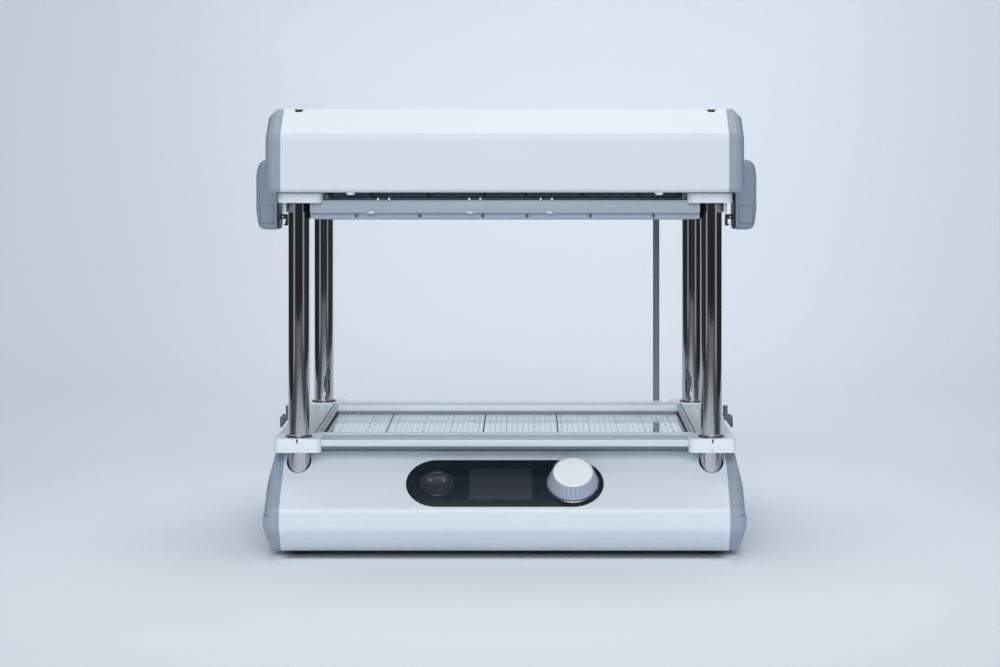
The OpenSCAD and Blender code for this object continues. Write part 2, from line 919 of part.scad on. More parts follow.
// Ceramic elements hang from the tray's roof by a neck
module heating_elements() {
    step = [element_w + element_gap, element_d + element_gap];
    color([0.9, 0.9, 0.88]) for (i = [-1:1], j = [-0.5, 0.5]) {
        translate([i * step[0], j * step[1], element_z]) union() {
            difference() {
                linear_extrude(element_t) rounded_rect(element_w, element_d, 6);
                translate([0, 0, 4 - element_dish]) rotate([90, 0, 0])
                    cylinder(r = element_dish, h = element_d + 2, center = true, $fn = 96);
            }
            translate([-element_neck_w / 2, -element_neck_d / 2, element_t - eps]) cube([
                element_neck_w, element_neck_d,
                tray_z + tray_h - tray_t - element_z - element_t + eps
            ]);
        }
    }
}

module insulation_pad() {
    color([0.9, 0.88, 0.8]) translate([0, 0, tray_z + tray_h]) linear_extrude(pad_h) {
        square([tray_w - 20, tray_d - 20], center = true);
    }
}

module housing_pads() {
    color(white) for (x = [-1, 1], y = [-1, 1]) {
        translate([x * (body_half - 80), y * (heat_d / 2 - 11), heat_z - 3]) rotate_extrude() polygon([
            [0, 0], [3.5, 0], [5, 1.2], [5, 3], [0, 3]
        ]);
    }
}

module parking_magnets() {
    color(steel) both_sides() translate([body_half + cap_t / 2, 0, 0]) {
        disc(magnet_r, arm_top + 0.3, heat_z);
    }
}

module cable_glands() {
    color(black) translate([cable_x, cable_y, 0]) {
        difference() {
            union() {
                disc(gland_neck_r, base_top - gland_in, base_top + eps);
                translate([0, 0, base_top])
                    cylinder(r1 = gland_flange_r, r2 = gland_flange_r - 1.4, h = gland_h);
            }
            disc(cable_d / 2, base_top - gland_in - 1, base_top + gland_h + 1);
        }
        difference() {
            union() {
                disc(gland_neck_r, heat_z - eps, heat_z + gland_in);
                translate([0, 0, heat_z - gland_h]) {
                    cylinder(r1 = gland_flange_r - 1.4, r2 = gland_flange_r, h = gland_h);
                }
            }
            disc(cable_d / 2, heat_z - gland_h - 1, heat_z + gland_in + 1);
        }
    }
}

module heater_cable() {
    color([0.55, 0.56, 0.58]) translate([cable_x, cable_y, 0]) {
        disc(cable_d / 2, base_top - gland_in - 4, heat_z + gland_in + 4);
    }
}

// Clamp frames
module frame_plate(half, z0, z1, shrink, hole_r) {
    translate([0, 0, z0]) linear_extrude(z1 - z0) difference() {
        rounded_rect(2 * (half - shrink), frame_d - 2 * shrink, 10 - shrink);
        rounded_rect(window_w, window_d, 3);
        at_posts() circle(hole_r);
    }
}

// The notches that let the upper frame's plates pass the posts
module post_slots(r, z0, z1) {
    for (x = [-1, 1], y = [-1, 1]) {
        translate([x * post_x, y * post_y, 0]) {
            disc(r, z0, z1);
            block(-r, r, min(0, y * frame_d), max(0, y * frame_d), z0, z1);
        }
    }
}

module seal(z0) {
    translate([0, 0, z0]) linear_extrude(seal_t) difference() {
        rounded_rect(window_w + 2 * seal_w, window_d + 2 * seal_w, 5);
        rounded_rect(window_w, window_d, 3);
    }
}

module upper_plate(fit) {
    difference() {
        frame_plate(upper_half + fit, upper_z, upper_top + fit, 0, post_r);
        post_slots(upper_slot_r - fit, upper_z - 1, upper_top + 1);
    }
}

module upper_frame() {
    color(white) union() {
        upper_plate(0);
        difference() {
            frame_plate(upper_half, ring_z, upper_z + eps, ring_inset, post_r);
            post_slots(upper_slot_r, ring_z - 1, upper_z + 1);
        }
    }
}

module upper_collars() {
    color(white) difference() {
        for (x = [-1, 1], y = [-1, 1]) {
            collar_x = post_x + (upper_collar_out - upper_collar_in) / 2;
            translate([x * collar_x, y * post_y, upper_collar_z]) {
                linear_extrude(upper_collar_h) {
                    rounded_rect(upper_collar_out + upper_collar_in, 2 * collar_half, collar_round);
                }
            }
        }
        upper_plate(collar_fit);
        at_posts() {
            disc(bush_r, upper_top, upper_collar_top + 1);
            disc(upper_slot_r - collar_fit, upper_collar_z - 1, upper_top + eps);
        }
    }
}

module upper_bushes() {
    color([0.2, 0.2, 0.2]) at_posts() difference() {
        union() {
            disc(bush_r, upper_top, upper_collar_top);
            disc(upper_slot_r - 2 * collar_fit, upper_collar_z - bush_lip, upper_top + eps);
        }
        disc(post_r + slide_fit, upper_collar_z - bush_lip - 1, upper_collar_top + 1);
    }
}

module upper_seal() {
    color([0.85, 0.85, 0.85]) seal(upper_seal_z);
}

module frame_screws() {
    color(steel) for (i = [-2.35, -1.35, -0.35, 0.35, 1.35, 2.35], y = [-1, 1]) {
        translate([i * screw_step, y * (frame_d / 2 - ring_inset), ring_z + ring_h / 2])
            rotate([y * -90, 0, 0]) {
            rotate_extrude() polygon([[0, 0], [2.4, 0], [2.4, 0.6], [1.4, 1.2], [0, 1.2]]);
        }
    }
}

// Handles
module handle_plate() {
    color(black) difference() {
        union() {
            translate([handle_in, 0, (handle_z + handle_top) / 2])
                rotate([90, 0, 90]) linear_extrude(plate_t) {
                rounded_rect(handle_l - 3, handle_h - 3, 9);
            }
            block(upper_half, handle_in + eps, -arm_half, arm_half, arm_top - arm_h, arm_top);
            for (y = [-1, 1]) {
                translate([0, y * (latch_half + ear_gap + ear_t / 2), 0])
                    block(handle_in - ear_reach, handle_in + eps, -ear_t / 2, ear_t / 2,
                        pin_z - eye_r, pin_z + eye_r);
            }
        }
        translate([pin_x, 0, pin_z]) rotate([90, 0, 0]) cylinder(r = pin_r, h = handle_l, center = true);
    }
}

module handle_plate_left() {
    mirror([1, 0, 0]) handle_plate();
}

module handle_plate_right() {
    handle_plate();
}

// A grip with rounded ends, open below for the fingers
module handle_shell() {
    far = shell_in + handle_t;
    near = shell_in - 14;
    outline = [
        [near, handle_z], [far - 3.5, handle_z], [far, handle_z + 24],
        [far, handle_top - 20], [far - 3, handle_top], [near, handle_top]
    ];
    half = handle_l / 2;
    color(cap_grey) difference() {
        intersection() {
            rotate([90, 0, 0]) loft(outline, [10, 10, 24, 20, 12, 10], [
                for (a = [0:30:90]) [-half + handle_round * (1 - cos(a)), handle_round * (1 - sin(a))],
                for (a = [0:30:90]) [half - handle_round * (1 - sin(a)), handle_round * (1 - cos(a))]
            ]);
            block(shell_in, far + 1, -half - 1, half + 1, handle_z - 1, handle_top + 1);
        }
        block(shell_in - 1, far - handle_wall - 2, -half + handle_wall, half - handle_wall,
            handle_z - 1, handle_top - 22);
    }
}

module handle_shell_left() {
    mirror([1, 0, 0]) handle_shell();
}

module handle_shell_right() {
    handle_shell();
}

module latch_pins() {
    pin_half = latch_half + ear_gap + ear_t;
    color(steel) both_sides() translate([pin_x, 0, pin_z]) rotate([90, 0, 0]) {
        cylinder(r = pin_r, h = 2 * pin_half, center = true);
    }
}

module latch() {
    low = pin_z - hook_drop;
    color(black) difference() {
        translate([0, latch_half, 0]) rotate([90, 0, 0]) linear_extrude(2 * latch_half) {
            translate([pin_x, pin_z]) circle(eye_r);
            translate([hook_x, pin_z - eye_r]) square([pin_x - hook_x, 2 * eye_r]);
            translate([hook_x, low]) square([hook_t, hook_drop]);
            polygon([
                [hook_x + hook_t - eps, low],
                [hook_x + hook_t + barb_reach, low + barb_h / 2],
                [hook_x + hook_t + barb_reach, low + barb_h],
                [hook_x + hook_t - eps, low + barb_h]
            ]);
        }
        translate([pin_x, 0, pin_z]) rotate([90, 0, 0]) {
            cylinder(r = pin_r + slide_fit, h = 2 * latch_half + 2, center = true);
        }
    }
}

module latch_left() {
    mirror([1, 0, 0]) latch();
}

module latch_right() {
    latch();
}

module lower_frame() {
    color(white) union() {
        frame_plate(frame_half, lower_z, lower_top, 0, bush_r);
        both_sides() block(frame_half - 1.5, frame_half, -cheek_y - cheek_t, buffer_y + buffer_r + 1,
            lower_top - eps, cheek_top);
    }
}

// A collar shows the ends of its clamping slit in front, over the post's axis
module lower_collars() {
    color(white) difference() {
        at_posts() translate([0, 0, lower_collar_z]) linear_extrude(lower_collar_top - lower_collar_z) {
            rounded_rect(2 * collar_out, 2 * collar_half, collar_round);
        }
        translate([0, 0, lower_z]) linear_extrude(lower_t) rounded_rect(2 * frame_half, frame_d, 10);
        at_posts() disc(bush_r, lower_collar_z - 1, lower_collar_top + 1);
        for (x = [-1, 1], y = [-1, 1], z = [lower_collar_z, lower_collar_top]) {
            translate([x * post_x - slit / 2, y * collar_half + y * post_y - slit / 2, z - 4])
                cube([slit, slit, 8]);
        }
    }
}

module lower_bushes() {
    color([0.2, 0.2, 0.2]) at_posts() difference() {
        disc(bush_r, lower_collar_z, lower_collar_top + bush_lip / 2);
        disc(post_r + slide_fit, lower_collar_z - 1, lower_collar_top + bush_lip);
    }
}

module lower_seal() {
    color([0.85, 0.85, 0.85]) seal(lower_top);
}

module frame_catches() {
    cheek = [
        [frame_half, cheek_top], [frame_half, cheek_top - 4], [frame_half + 2.5, cheek_top - 4],
        [bar_x0 - 1, bar_z - 2], [cheek_out, bar_z - 2], [cheek_out, cheek_top]
    ];
    shelf_z = lower_top - 1;
    color(steel) both_sides() union() {
        for (y = [-1, 1]) {
            translate([0, y * (cheek_y + cheek_t / 2) + cheek_t / 2, 0]) rotate([90, 0, 0])
                linear_extrude(cheek_t) polygon(cheek);
        }
        translate([bar_x0, 0, bar_z]) rotate([90, 0, 0])
            cylinder(r = bar_r, h = 2 * (cheek_y + cheek_t), center = true);
        block(frame_half, frame_half + 8, cheek_y, buffer_y + buffer_r + 1, shelf_z, shelf_z + 2);
        translate([frame_half + 5, buffer_y, 0]) disc(buffer_r, shelf_z + 2 - eps, shelf_z + buffer_h);
    }
}

base_cover();
base_pan();
base_cap_left();
base_cap_right();
feet();
rest_pads();
rear_panel();
mains_inlet();
control_panel();
display_lens();
display_module();
control_board();
power_bezel();
power_switch();
knob_bezel();
encoder();
bed_plate();
bed_gasket();
vacuum_box();
motor_seal();
vacuum_motor();
power_supply();
post_front_left();
post_front_right();
post_rear_left();
post_rear_right();
post_sockets();
post_spacers();
post_screws();
heater_cover();
heater_cap_left();
heater_cap_right();
heater_tray();
heating_elements();
insulation_pad();
housing_pads();
parking_magnets();
cable_glands();
heater_cable();
upper_frame();
upper_collars();
upper_bushes();
upper_seal();
frame_screws();
handle_plate_left();
handle_plate_right();
handle_shell_left();
handle_shell_right();
latch_pins();
latch_left();
latch_right();
lower_frame();
lower_collars();
lower_bushes();
lower_seal();
frame_catches();
encoder_shaft();
knob_skirt();
knob_cap();
power_button();
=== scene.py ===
"""Finishes, detailed pieces, studio and camera for a tabletop vacuum former."""

import json
import math

import bmesh
import bpy
from mathutils import Matrix, Vector

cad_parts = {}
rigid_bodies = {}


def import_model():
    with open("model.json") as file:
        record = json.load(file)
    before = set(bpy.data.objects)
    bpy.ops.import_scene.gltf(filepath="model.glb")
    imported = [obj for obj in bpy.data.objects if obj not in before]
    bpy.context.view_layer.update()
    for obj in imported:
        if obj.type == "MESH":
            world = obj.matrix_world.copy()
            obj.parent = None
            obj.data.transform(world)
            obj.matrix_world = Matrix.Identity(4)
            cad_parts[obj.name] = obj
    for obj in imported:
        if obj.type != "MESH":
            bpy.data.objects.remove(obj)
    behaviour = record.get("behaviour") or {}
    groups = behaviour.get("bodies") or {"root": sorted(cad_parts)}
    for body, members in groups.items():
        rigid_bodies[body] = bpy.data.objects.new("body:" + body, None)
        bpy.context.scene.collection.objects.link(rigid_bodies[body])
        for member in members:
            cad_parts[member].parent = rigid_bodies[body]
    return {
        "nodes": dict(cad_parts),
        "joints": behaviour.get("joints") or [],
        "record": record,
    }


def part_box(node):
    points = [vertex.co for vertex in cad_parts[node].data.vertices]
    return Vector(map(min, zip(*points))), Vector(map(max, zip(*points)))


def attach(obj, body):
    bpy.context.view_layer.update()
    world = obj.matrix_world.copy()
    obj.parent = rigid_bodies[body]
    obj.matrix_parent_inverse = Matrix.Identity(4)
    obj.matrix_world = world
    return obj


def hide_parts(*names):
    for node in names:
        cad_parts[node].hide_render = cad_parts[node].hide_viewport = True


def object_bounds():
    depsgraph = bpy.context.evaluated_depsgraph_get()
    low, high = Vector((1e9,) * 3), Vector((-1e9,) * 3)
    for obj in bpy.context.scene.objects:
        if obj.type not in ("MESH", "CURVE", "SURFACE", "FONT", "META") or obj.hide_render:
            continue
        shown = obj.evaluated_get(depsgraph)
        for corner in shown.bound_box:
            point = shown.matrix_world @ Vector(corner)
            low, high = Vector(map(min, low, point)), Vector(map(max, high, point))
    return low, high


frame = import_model()
CAD_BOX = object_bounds()
NODES = frame["nodes"]
JOINTS = {joint["name"]: joint for joint in frame["joints"]}

bl_info = {
    "name": "Vacuum former",
    "version": (1, 0, 0),
    "blender": (4, 5, 0),
    "location": "3D View > Sidebar > Former",
    "description": "Dresses the packed vacuum former with its finishes and detailed pieces",
    "category": "Object",
}

MM = 0.001

# The control face: x across, y up the slope, z out of it
FACE_NORMAL = Vector(JOINTS["knob_turn"]["axis"]).normalized()
FACE_ACROSS = Vector((1.0, 0.0, 0.0))
FACE_UP = FACE_NORMAL.cross(FACE_ACROSS)


def node_centre(name):
    low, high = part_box(name)
    return (Vector(low) + Vector(high)) / 2


def face_point(name):
    """The middle of a round part on the control face, dropped to the panel's outer surface."""
    centre = node_centre(name)
    panel = node_centre("display_lens")
    panel += FACE_NORMAL * (sheet().lens_thickness / 2)
    return centre - FACE_NORMAL * (centre - panel).dot(FACE_NORMAL)


def face_matrix(origin):
    turn = Matrix((FACE_ACROSS, FACE_UP, FACE_NORMAL)).transposed()
    return Matrix.Translation(origin) @ turn.to_4x4()


class CasingSettings(bpy.types.PropertyGroup):
    white: bpy.props.FloatVectorProperty(
        name="White coat", description="Colour of the coated sheet metal",
        subtype="COLOR", size=3, min=0, max=1, default=(0.72, 0.78, 0.85))
    frame_white: bpy.props.FloatVectorProperty(
        name="Frame coat", description="Colour of the coated clamp frames",
        subtype="COLOR", size=3, min=0, max=1, default=(0.70, 0.77, 0.83))
    grey: bpy.props.FloatVectorProperty(
        name="Side caps", description="Colour of the grey mouldings",
        subtype="COLOR", size=3, min=0, max=1, default=(0.30, 0.36, 0.465))
    edge: bpy.props.FloatProperty(
        name="Edge radius", description="Radius of broken edges on frames and plates",
        unit="LENGTH", min=0, default=0.8 * MM)
    orange_peel: bpy.props.FloatProperty(
        name="Coat texture", description="Height of the powder coat's fine texture",
        unit="LENGTH", min=0, default=0.02 * MM)
    lens_thickness: bpy.props.FloatProperty(
        name="Lens thickness", description="Thickness of the display window",
        unit="LENGTH", min=0, default=0.93 * MM)


class BedSettings(bpy.types.PropertyGroup):
    grid: bpy.props.FloatProperty(
        name="Grid pitch", description="Distance between the ruled lines of the bed",
        unit="LENGTH", min=1 * MM, default=6.8 * MM)
    line: bpy.props.FloatProperty(
        name="Line width", description="Width of a ruled line",
        unit="LENGTH", min=0.1 * MM, default=0.9 * MM)
    hole_pitch: bpy.props.FloatProperty(
        name="Hole pitch", description="Distance between suction holes",
        unit="LENGTH", min=5 * MM, default=34 * MM)
    rim: bpy.props.FloatProperty(
        name="Hole rim", description="Radius of the pressed rim round a suction hole",
        unit="LENGTH", min=0.5 * MM, default=1.7 * MM)


class ControlSettings(bpy.types.PropertyGroup):
    flutes: bpy.props.IntProperty(
        name="Knob flutes", description="Number of grip flutes round the knob", min=8, default=30)
    flute_depth: bpy.props.FloatProperty(
        name="Flute depth", description="Depth of a grip flute",
        unit="LENGTH", min=0, default=1.1 * MM)
    dish: bpy.props.FloatProperty(
        name="Button dish", description="How far the power button is dished",
        unit="LENGTH", min=0, default=1.1 * MM)
    black: bpy.props.FloatVectorProperty(
        name="Panel black", description="Colour of the control panel",
        subtype="COLOR", size=3, min=0, max=1, default=(0.008, 0.012, 0.02))


class StudioSettings(bpy.types.PropertyGroup):
    distance: bpy.props.FloatProperty(
        name="Camera distance", description="Camera to the front of the base",
        unit="LENGTH", min=1, default=2.715)
    lens: bpy.props.FloatProperty(
        name="Lens", description="Focal length in millimetres", min=20, default=85.68)
    aside: bpy.props.FloatProperty(
        name="Camera aside", description="How far the camera stands to the right of the middle",
        unit="LENGTH", default=0.029)
    shift_across: bpy.props.FloatProperty(
        name="Shift across", description="Lens shift across, in image widths", default=-0.030)
    shift_down: bpy.props.FloatProperty(
        name="Shift down", description="Lens shift up, in image widths", default=-0.2245)
    pale: bpy.props.FloatVectorProperty(
        name="Backdrop", description="Colour of the seamless backdrop",
        subtype="COLOR", size=3, min=0, max=1, default=(0.715, 0.775, 0.85))


class FormerSettings(bpy.types.PropertyGroup):
    casing: bpy.props.PointerProperty(type=CasingSettings)
    bed: bpy.props.PointerProperty(type=BedSettings)
    controls: bpy.props.PointerProperty(type=ControlSettings)
    studio: bpy.props.PointerProperty(type=StudioSettings)


def sheet():
    return bpy.context.scene.former.casing


def bed():
    return bpy.context.scene.former.bed


def controls():
    return bpy.context.scene.former.controls


def studio():
    return bpy.context.scene.former.studio


# Shader building
class Signal:
    """One value or colour in a shader; arithmetic on it adds Math nodes."""

    def __init__(self, finish, socket):
        self.finish = finish
        self.socket = socket

    def math(self, operation, *values):
        return self.finish.node("ShaderNodeMath", {"operation": operation}, *values)

    def __add__(self, other):
        return self.math("ADD", self, other)

    def __radd__(self, other):
        return self.math("ADD", other, self)

    def __sub__(self, other):
        return self.math("SUBTRACT", self, other)

    def __rsub__(self, other):
        return self.math("SUBTRACT", other, self)

    def __mul__(self, other):
        return self.math("MULTIPLY", self, other)

    def __rmul__(self, other):
        return self.math("MULTIPLY", other, self)

    def __abs__(self):
        return self.math("ABSOLUTE", self)

    def power(self, exponent):
        return self.math("POWER", self, exponent)


class Finish:
    """A material: a Principled shader, its constants, and the nodes that vary it."""

    def __init__(self, name, colour, roughness, metallic=0.0, **constants):
        self.material = bpy.data.materials.new(name)
        self.material.use_nodes = True
        self.tree = self.material.node_tree
        self.shader = self.tree.nodes["Principled BSDF"]
        self.set("Base Color", (*colour, 1.0))
        self.set("Roughness", roughness)
        self.set("Metallic", metallic)
        for socket, value in constants.items():
            self.set(socket.replace("_", " "), value)

    def set(self, socket, value):
        target = self.shader.inputs[socket]
        if isinstance(value, Signal):
            self.tree.links.new(value.socket, target)
        else:
            target.default_value = value

    def node(self, kind, settings, *values, output=0, **named):
        made = self.tree.nodes.new(kind)
        for key, value in settings.items():
            setattr(made, key, value)
        targets = list(zip(made.inputs, values))
        targets += [(made.inputs[key.replace("_", " ")], value) for key, value in named.items()]
        for target, value in targets:
            if isinstance(value, Signal):
                self.tree.links.new(value.socket, target)
            elif value is not None:
                target.default_value = value
        return Signal(self, made.outputs[output])

    def place(self):
        return self.node("ShaderNodeTexCoord", {}, output=3)

    def axes(self):
        split = self.node("ShaderNodeSeparateXYZ", {}, self.place()).socket.node
        return [Signal(self, socket) for socket in split.outputs]

    def noise(self, scale, detail=3.0, stretch=(1.0, 1.0, 1.0)):
        spread = self.node(
            "ShaderNodeVectorMath", {"operation": "MULTIPLY"}, self.place(), stretch)
        return self.node("ShaderNodeTexNoise", {}, Vector=spread, Scale=scale, Detail=detail)

    def ramp(self, value, low, high):
        return self.node(
            "ShaderNodeMapRange", {"interpolation_type": "SMOOTHSTEP"}, value, low, high, 0.0, 1.0)

    def mix(self, factor, first, second):
        made = self.node("ShaderNodeMix", {"data_type": "RGBA"}, factor).socket.node
        for index, value in ((6, first), (7, second)):
            if isinstance(value, Signal):
                self.tree.links.new(value.socket, made.inputs[index])
            else:
                made.inputs[index].default_value = (*value[:3], 1.0)
        return Signal(self, made.outputs[2])

    def bump(self, height, distance, strength=1.0):
        self.set("Normal", self.node(
            "ShaderNodeBump", {}, Strength=strength, Distance=distance, Height=height))


def shade(colour, factor):
    return tuple(min(1.0, channel * factor) for channel in colour)


def powder_coat(name, colour):
    coat = Finish(name, colour, 0.38, Coat_Weight=0.15, Coat_Roughness=0.2)
    cloud = coat.noise(9.0, 2.0)
    coat.set("Base Color", coat.mix(cloud, shade(colour, 0.975), shade(colour, 1.015)))
    coat.set("Roughness", 0.34 + 0.1 * coat.noise(60.0))
    coat.bump(coat.noise(900.0, 2.0), sheet().orange_peel)
    return coat.material


# The band of the upper frame that lies across the posts, painted near-black as shade, and how
# softly its colours meet
BAND_INNER = 0.2254
BAND_OUTER = 0.2516
BAND_BLEND = 0.6 * MM
# Painted shade: the black of the seals' side strips.
SIDE_PAINTED_SHADE = (0.012, 0.017, 0.028)
SEAL_GREY = (0.30, 0.34, 0.39)


def satin_rail(name, share, rear=1.0, band=False):
    """Satin rail, toned by shares of the frame coat as painted shade and light; its rear can be
    lighter, as painted light.

    With band, the frame is near-black where it lies across the posts, from front to rear,
    and white outside of that. In the photo the posts are seen whole there.
    """
    colour = tuple(part * keep for part, keep in zip(sheet().frame_white, share))
    rail = Finish(name, colour, 0.42)
    drawn = rail.noise(30.0, 3.0, stretch=(0.2, 6.0, 6.0))
    across, along, _ = rail.axes()
    skin = rail.mix(drawn, shade(colour, 0.96), shade(colour, 1.03))
    # Painted light: the rear half of the rail is made lighter by the rear factor, in place of the
    # light that reaches it.
    skin = rail.mix(rail.ramp(along, -0.15, 0.15), skin, shade(colour, rear))
    # Painted shade: with band, the strip across the posts is near-black, standing in for the shaded
    # recess round the posts and the dark posts seen there; white outside it.
    if band:
        reach = abs(across)
        inner = rail.ramp(reach, BAND_INNER, BAND_INNER + BAND_BLEND)
        dark = inner * rail.ramp(reach, BAND_OUTER, BAND_OUTER - BAND_BLEND)
        outer = rail.ramp(reach, BAND_OUTER - BAND_BLEND, BAND_OUTER)
        skin = rail.mix(outer, skin, sheet().frame_white)
        skin = rail.mix(dark, skin, (0.016, 0.019, 0.028))
    rail.set("Base Color", skin)
    rail.set("Roughness", 0.36 + 0.12 * drawn)
    rail.bump(rail.noise(1500.0, 2.0), 0.015 * MM)
    return rail.material


def mouth_rubber():
    """Draught strip, darker towards its foot and lighter towards the housing, as painted shade."""
    seal = Finish("Mouth seal", (0.12, 0.15, 0.18), 0.6)
    _, _, up = seal.axes()
    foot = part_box("upper_frame")[1][2]
    # Painted shade: the strip is darkest at its foot and lighter towards the housing.
    rise = seal.ramp(up, foot, foot + 8 * MM)
    seal.set("Base Color", seal.mix(rise, (0.07, 0.095, 0.13), (0.24, 0.30, 0.37)))
    seal.set("Roughness", 0.55 + 0.1 * seal.noise(200.0))
    seal.bump(seal.noise(1200.0, 2.0), 0.03 * MM)
    return seal.material


def dark_sided(name, colour, start):
    """Grey seal whose side strips are black from a distance off the middle, as painted shade of the
    gaps beside them.
    """
    seal = Finish(name, colour, 0.6)
    across, _, _ = seal.axes()
    # Painted shade: past start, the seal is black for the shaded gap at its side.
    side = seal.ramp(abs(across), start, start + 0.4 * MM)
    seal.set("Base Color", seal.mix(side, colour, SIDE_PAINTED_SHADE))
    seal.bump(seal.noise(700.0, 2.0), 0.03 * MM)
    return seal.material


def grey_moulding():
    colour = sheet().grey
    plastic = Finish("Grey moulding", colour, 0.45)
    cloud = plastic.noise(14.0, 3.0)
    plastic.set("Base Color", plastic.mix(cloud, shade(colour, 0.94), shade(colour, 1.05)))
    plastic.set("Roughness", 0.40 + 0.14 * plastic.noise(120.0))
    plastic.bump(plastic.noise(2600.0, 2.0), 0.03 * MM)
    return plastic.material


def polished_bar():
    """Ground and polished bar with faint rings from the polishing wheel."""
    colour = (0.575, 0.58, 0.60)
    steel = Finish("Polished bar", colour, 0.1, 1.0)
    rings = steel.noise(60.0, 4.0, stretch=(1.0, 1.0, 22.0))
    smear = steel.noise(6.0, 3.0, stretch=(4.0, 4.0, 1.0))
    steel.set("Base Color", steel.mix(smear, shade(colour, 0.93), shade(colour, 1.05)))
    steel.set("Roughness", 0.035 + 0.02 * rings + 0.02 * smear)
    return steel.material


def bright_head():
    head = Finish("Bright screw head", (0.95, 0.96, 0.97), 0.15, 1.0)
    head.set("Roughness", 0.12 + 0.08 * head.noise(400.0))
    return head.material


def plated_steel():
    colour = (0.52, 0.53, 0.55)
    steel = Finish("Plated steel", colour, 0.3, 1.0)
    patch = steel.noise(80.0, 4.0)
    steel.set("Base Color", steel.mix(patch, shade(colour, 0.85), shade(colour, 1.08)))
    steel.set("Roughness", 0.24 + 0.16 * patch)
    return steel.material


def ruled_mirror():
    """Polished bed with a ruled grid and three heavier dark lines across it."""
    settings = bed()
    colour = (0.71, 0.745, 0.79)
    plate = Finish("Ruled mirror bed", colour, 0.06, 1.0)
    across, along, _ = plate.axes()

    def ruled(axis, pitch, width):
        cell = plate.node("ShaderNodeMath", {"operation": "PINGPONG"}, axis, pitch / 2)
        return plate.ramp(cell, width * 0.75, width * 0.25)

    fine_across = ruled(across, settings.grid, settings.line)
    fine_along = ruled(along, settings.grid, settings.line)
    fine = plate.node("ShaderNodeMath", {"operation": "MAXIMUM"}, fine_across, fine_along)
    marks = None
    for place in (-0.146, -0.028, 0.063):
        near = abs(across - place)
        line = plate.ramp(near, settings.line * 1.1, settings.line * 0.6)
        marks = line if marks is None else plate.node(
            "ShaderNodeMath", {"operation": "MAXIMUM"}, marks, line)
    line_colour = plate.mix(marks, (0.30, 0.34, 0.39), (0.01, 0.012, 0.016))
    engraved = plate.node("ShaderNodeMath", {"operation": "MAXIMUM"}, fine * 0.62, marks)
    scuff = plate.noise(30.0, 5.0)
    plate.set("Base Color", plate.mix(engraved, colour, line_colour))
    plate.set("Metallic", (1.0 - 0.4 * fine) * (1.0 - marks))
    plate.set("Roughness", 0.05 + 0.06 * scuff + 0.2 * fine + 0.7 * marks)
    plate.bump(1.0 - engraved, 0.02 * MM, 0.4)
    return plate.material


def gloss_panel():
    colour = controls().black
    panel = Finish("Gloss black panel", colour, 0.12, Specular_IOR_Level=0.3)
    dust = panel.noise(220.0, 3.0)
    panel.set("Roughness", 0.09 + 0.09 * dust)
    panel.set("Base Color", panel.mix(dust, shade(colour, 0.85), shade(colour, 1.3)))
    return panel.material


def display_glass():
    """Switched-off display behind its window, a shade lighter than the panel."""
    colour = (0.026, 0.032, 0.043)
    glass = Finish("Display window", colour, 0.16, Specular_IOR_Level=0.35)
    _, along, _ = glass.axes()
    low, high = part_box("display_lens")
    rise = glass.ramp(along, low[1], high[1])
    glass.set("Base Color", glass.mix(rise, (0.030, 0.036, 0.050), (0.022, 0.028, 0.038)))
    glass.set("Roughness", 0.14 + 0.05 * glass.noise(300.0))
    return glass.material


def satin(name, colour, roughness, grain=1800.0, height=0.02):
    plastic = Finish(name, colour, roughness)
    cloud = plastic.noise(40.0, 3.0)
    plastic.set("Base Color", plastic.mix(cloud, shade(colour, 0.9), shade(colour, 1.1)))
    plastic.set("Roughness", roughness - 0.06 + 0.12 * cloud)
    plastic.bump(plastic.noise(grain, 2.0), height * MM)
    return plastic.material


def reflector_sheet():
    colour = (0.72, 0.74, 0.77)
    tray = Finish("Bright reflector", colour, 0.18, 1.0)
    rolled = tray.noise(40.0, 4.0, stretch=(1.0, 16.0, 1.0))
    tray.set("Base Color", tray.mix(rolled, shade(colour, 0.9), shade(colour, 1.05)))
    tray.set("Roughness", 0.12 + 0.16 * rolled)
    return tray.material


def ceramic():
    colour = (0.78, 0.76, 0.70)
    glaze = Finish("Glazed ceramic", colour, 0.25, Coat_Weight=0.5, Coat_Roughness=0.1)
    speck = glaze.ramp(glaze.noise(500.0, 2.0), 0.68, 0.74)
    tone = glaze.mix(glaze.noise(25.0, 3.0), shade(colour, 0.93), shade(colour, 1.05))
    glaze.set("Base Color", glaze.mix(speck * 0.5, tone, (0.42, 0.37, 0.30)))
    return glaze.material


def fibre_pad():
    colour = (0.72, 0.69, 0.61)
    pad = Finish("Ceramic fibre", colour, 0.95)
    strands = pad.noise(700.0, 5.0, stretch=(1.0, 0.25, 1.0))
    pad.set("Base Color", pad.mix(strands, shade(colour, 0.75), shade(colour, 1.1)))
    pad.bump(strands, 0.4 * MM)
    return pad.material


def circuit_board():
    colour = (0.02, 0.12, 0.06)
    board = Finish("Circuit board", colour, 0.35, Coat_Weight=0.3)
    tracks = board.ramp(board.noise(260.0, 1.0, stretch=(1.0, 4.0, 1.0)), 0.5, 0.53)
    board.set("Base Color", board.mix(tracks, colour, (0.04, 0.2, 0.1)))
    return board.material


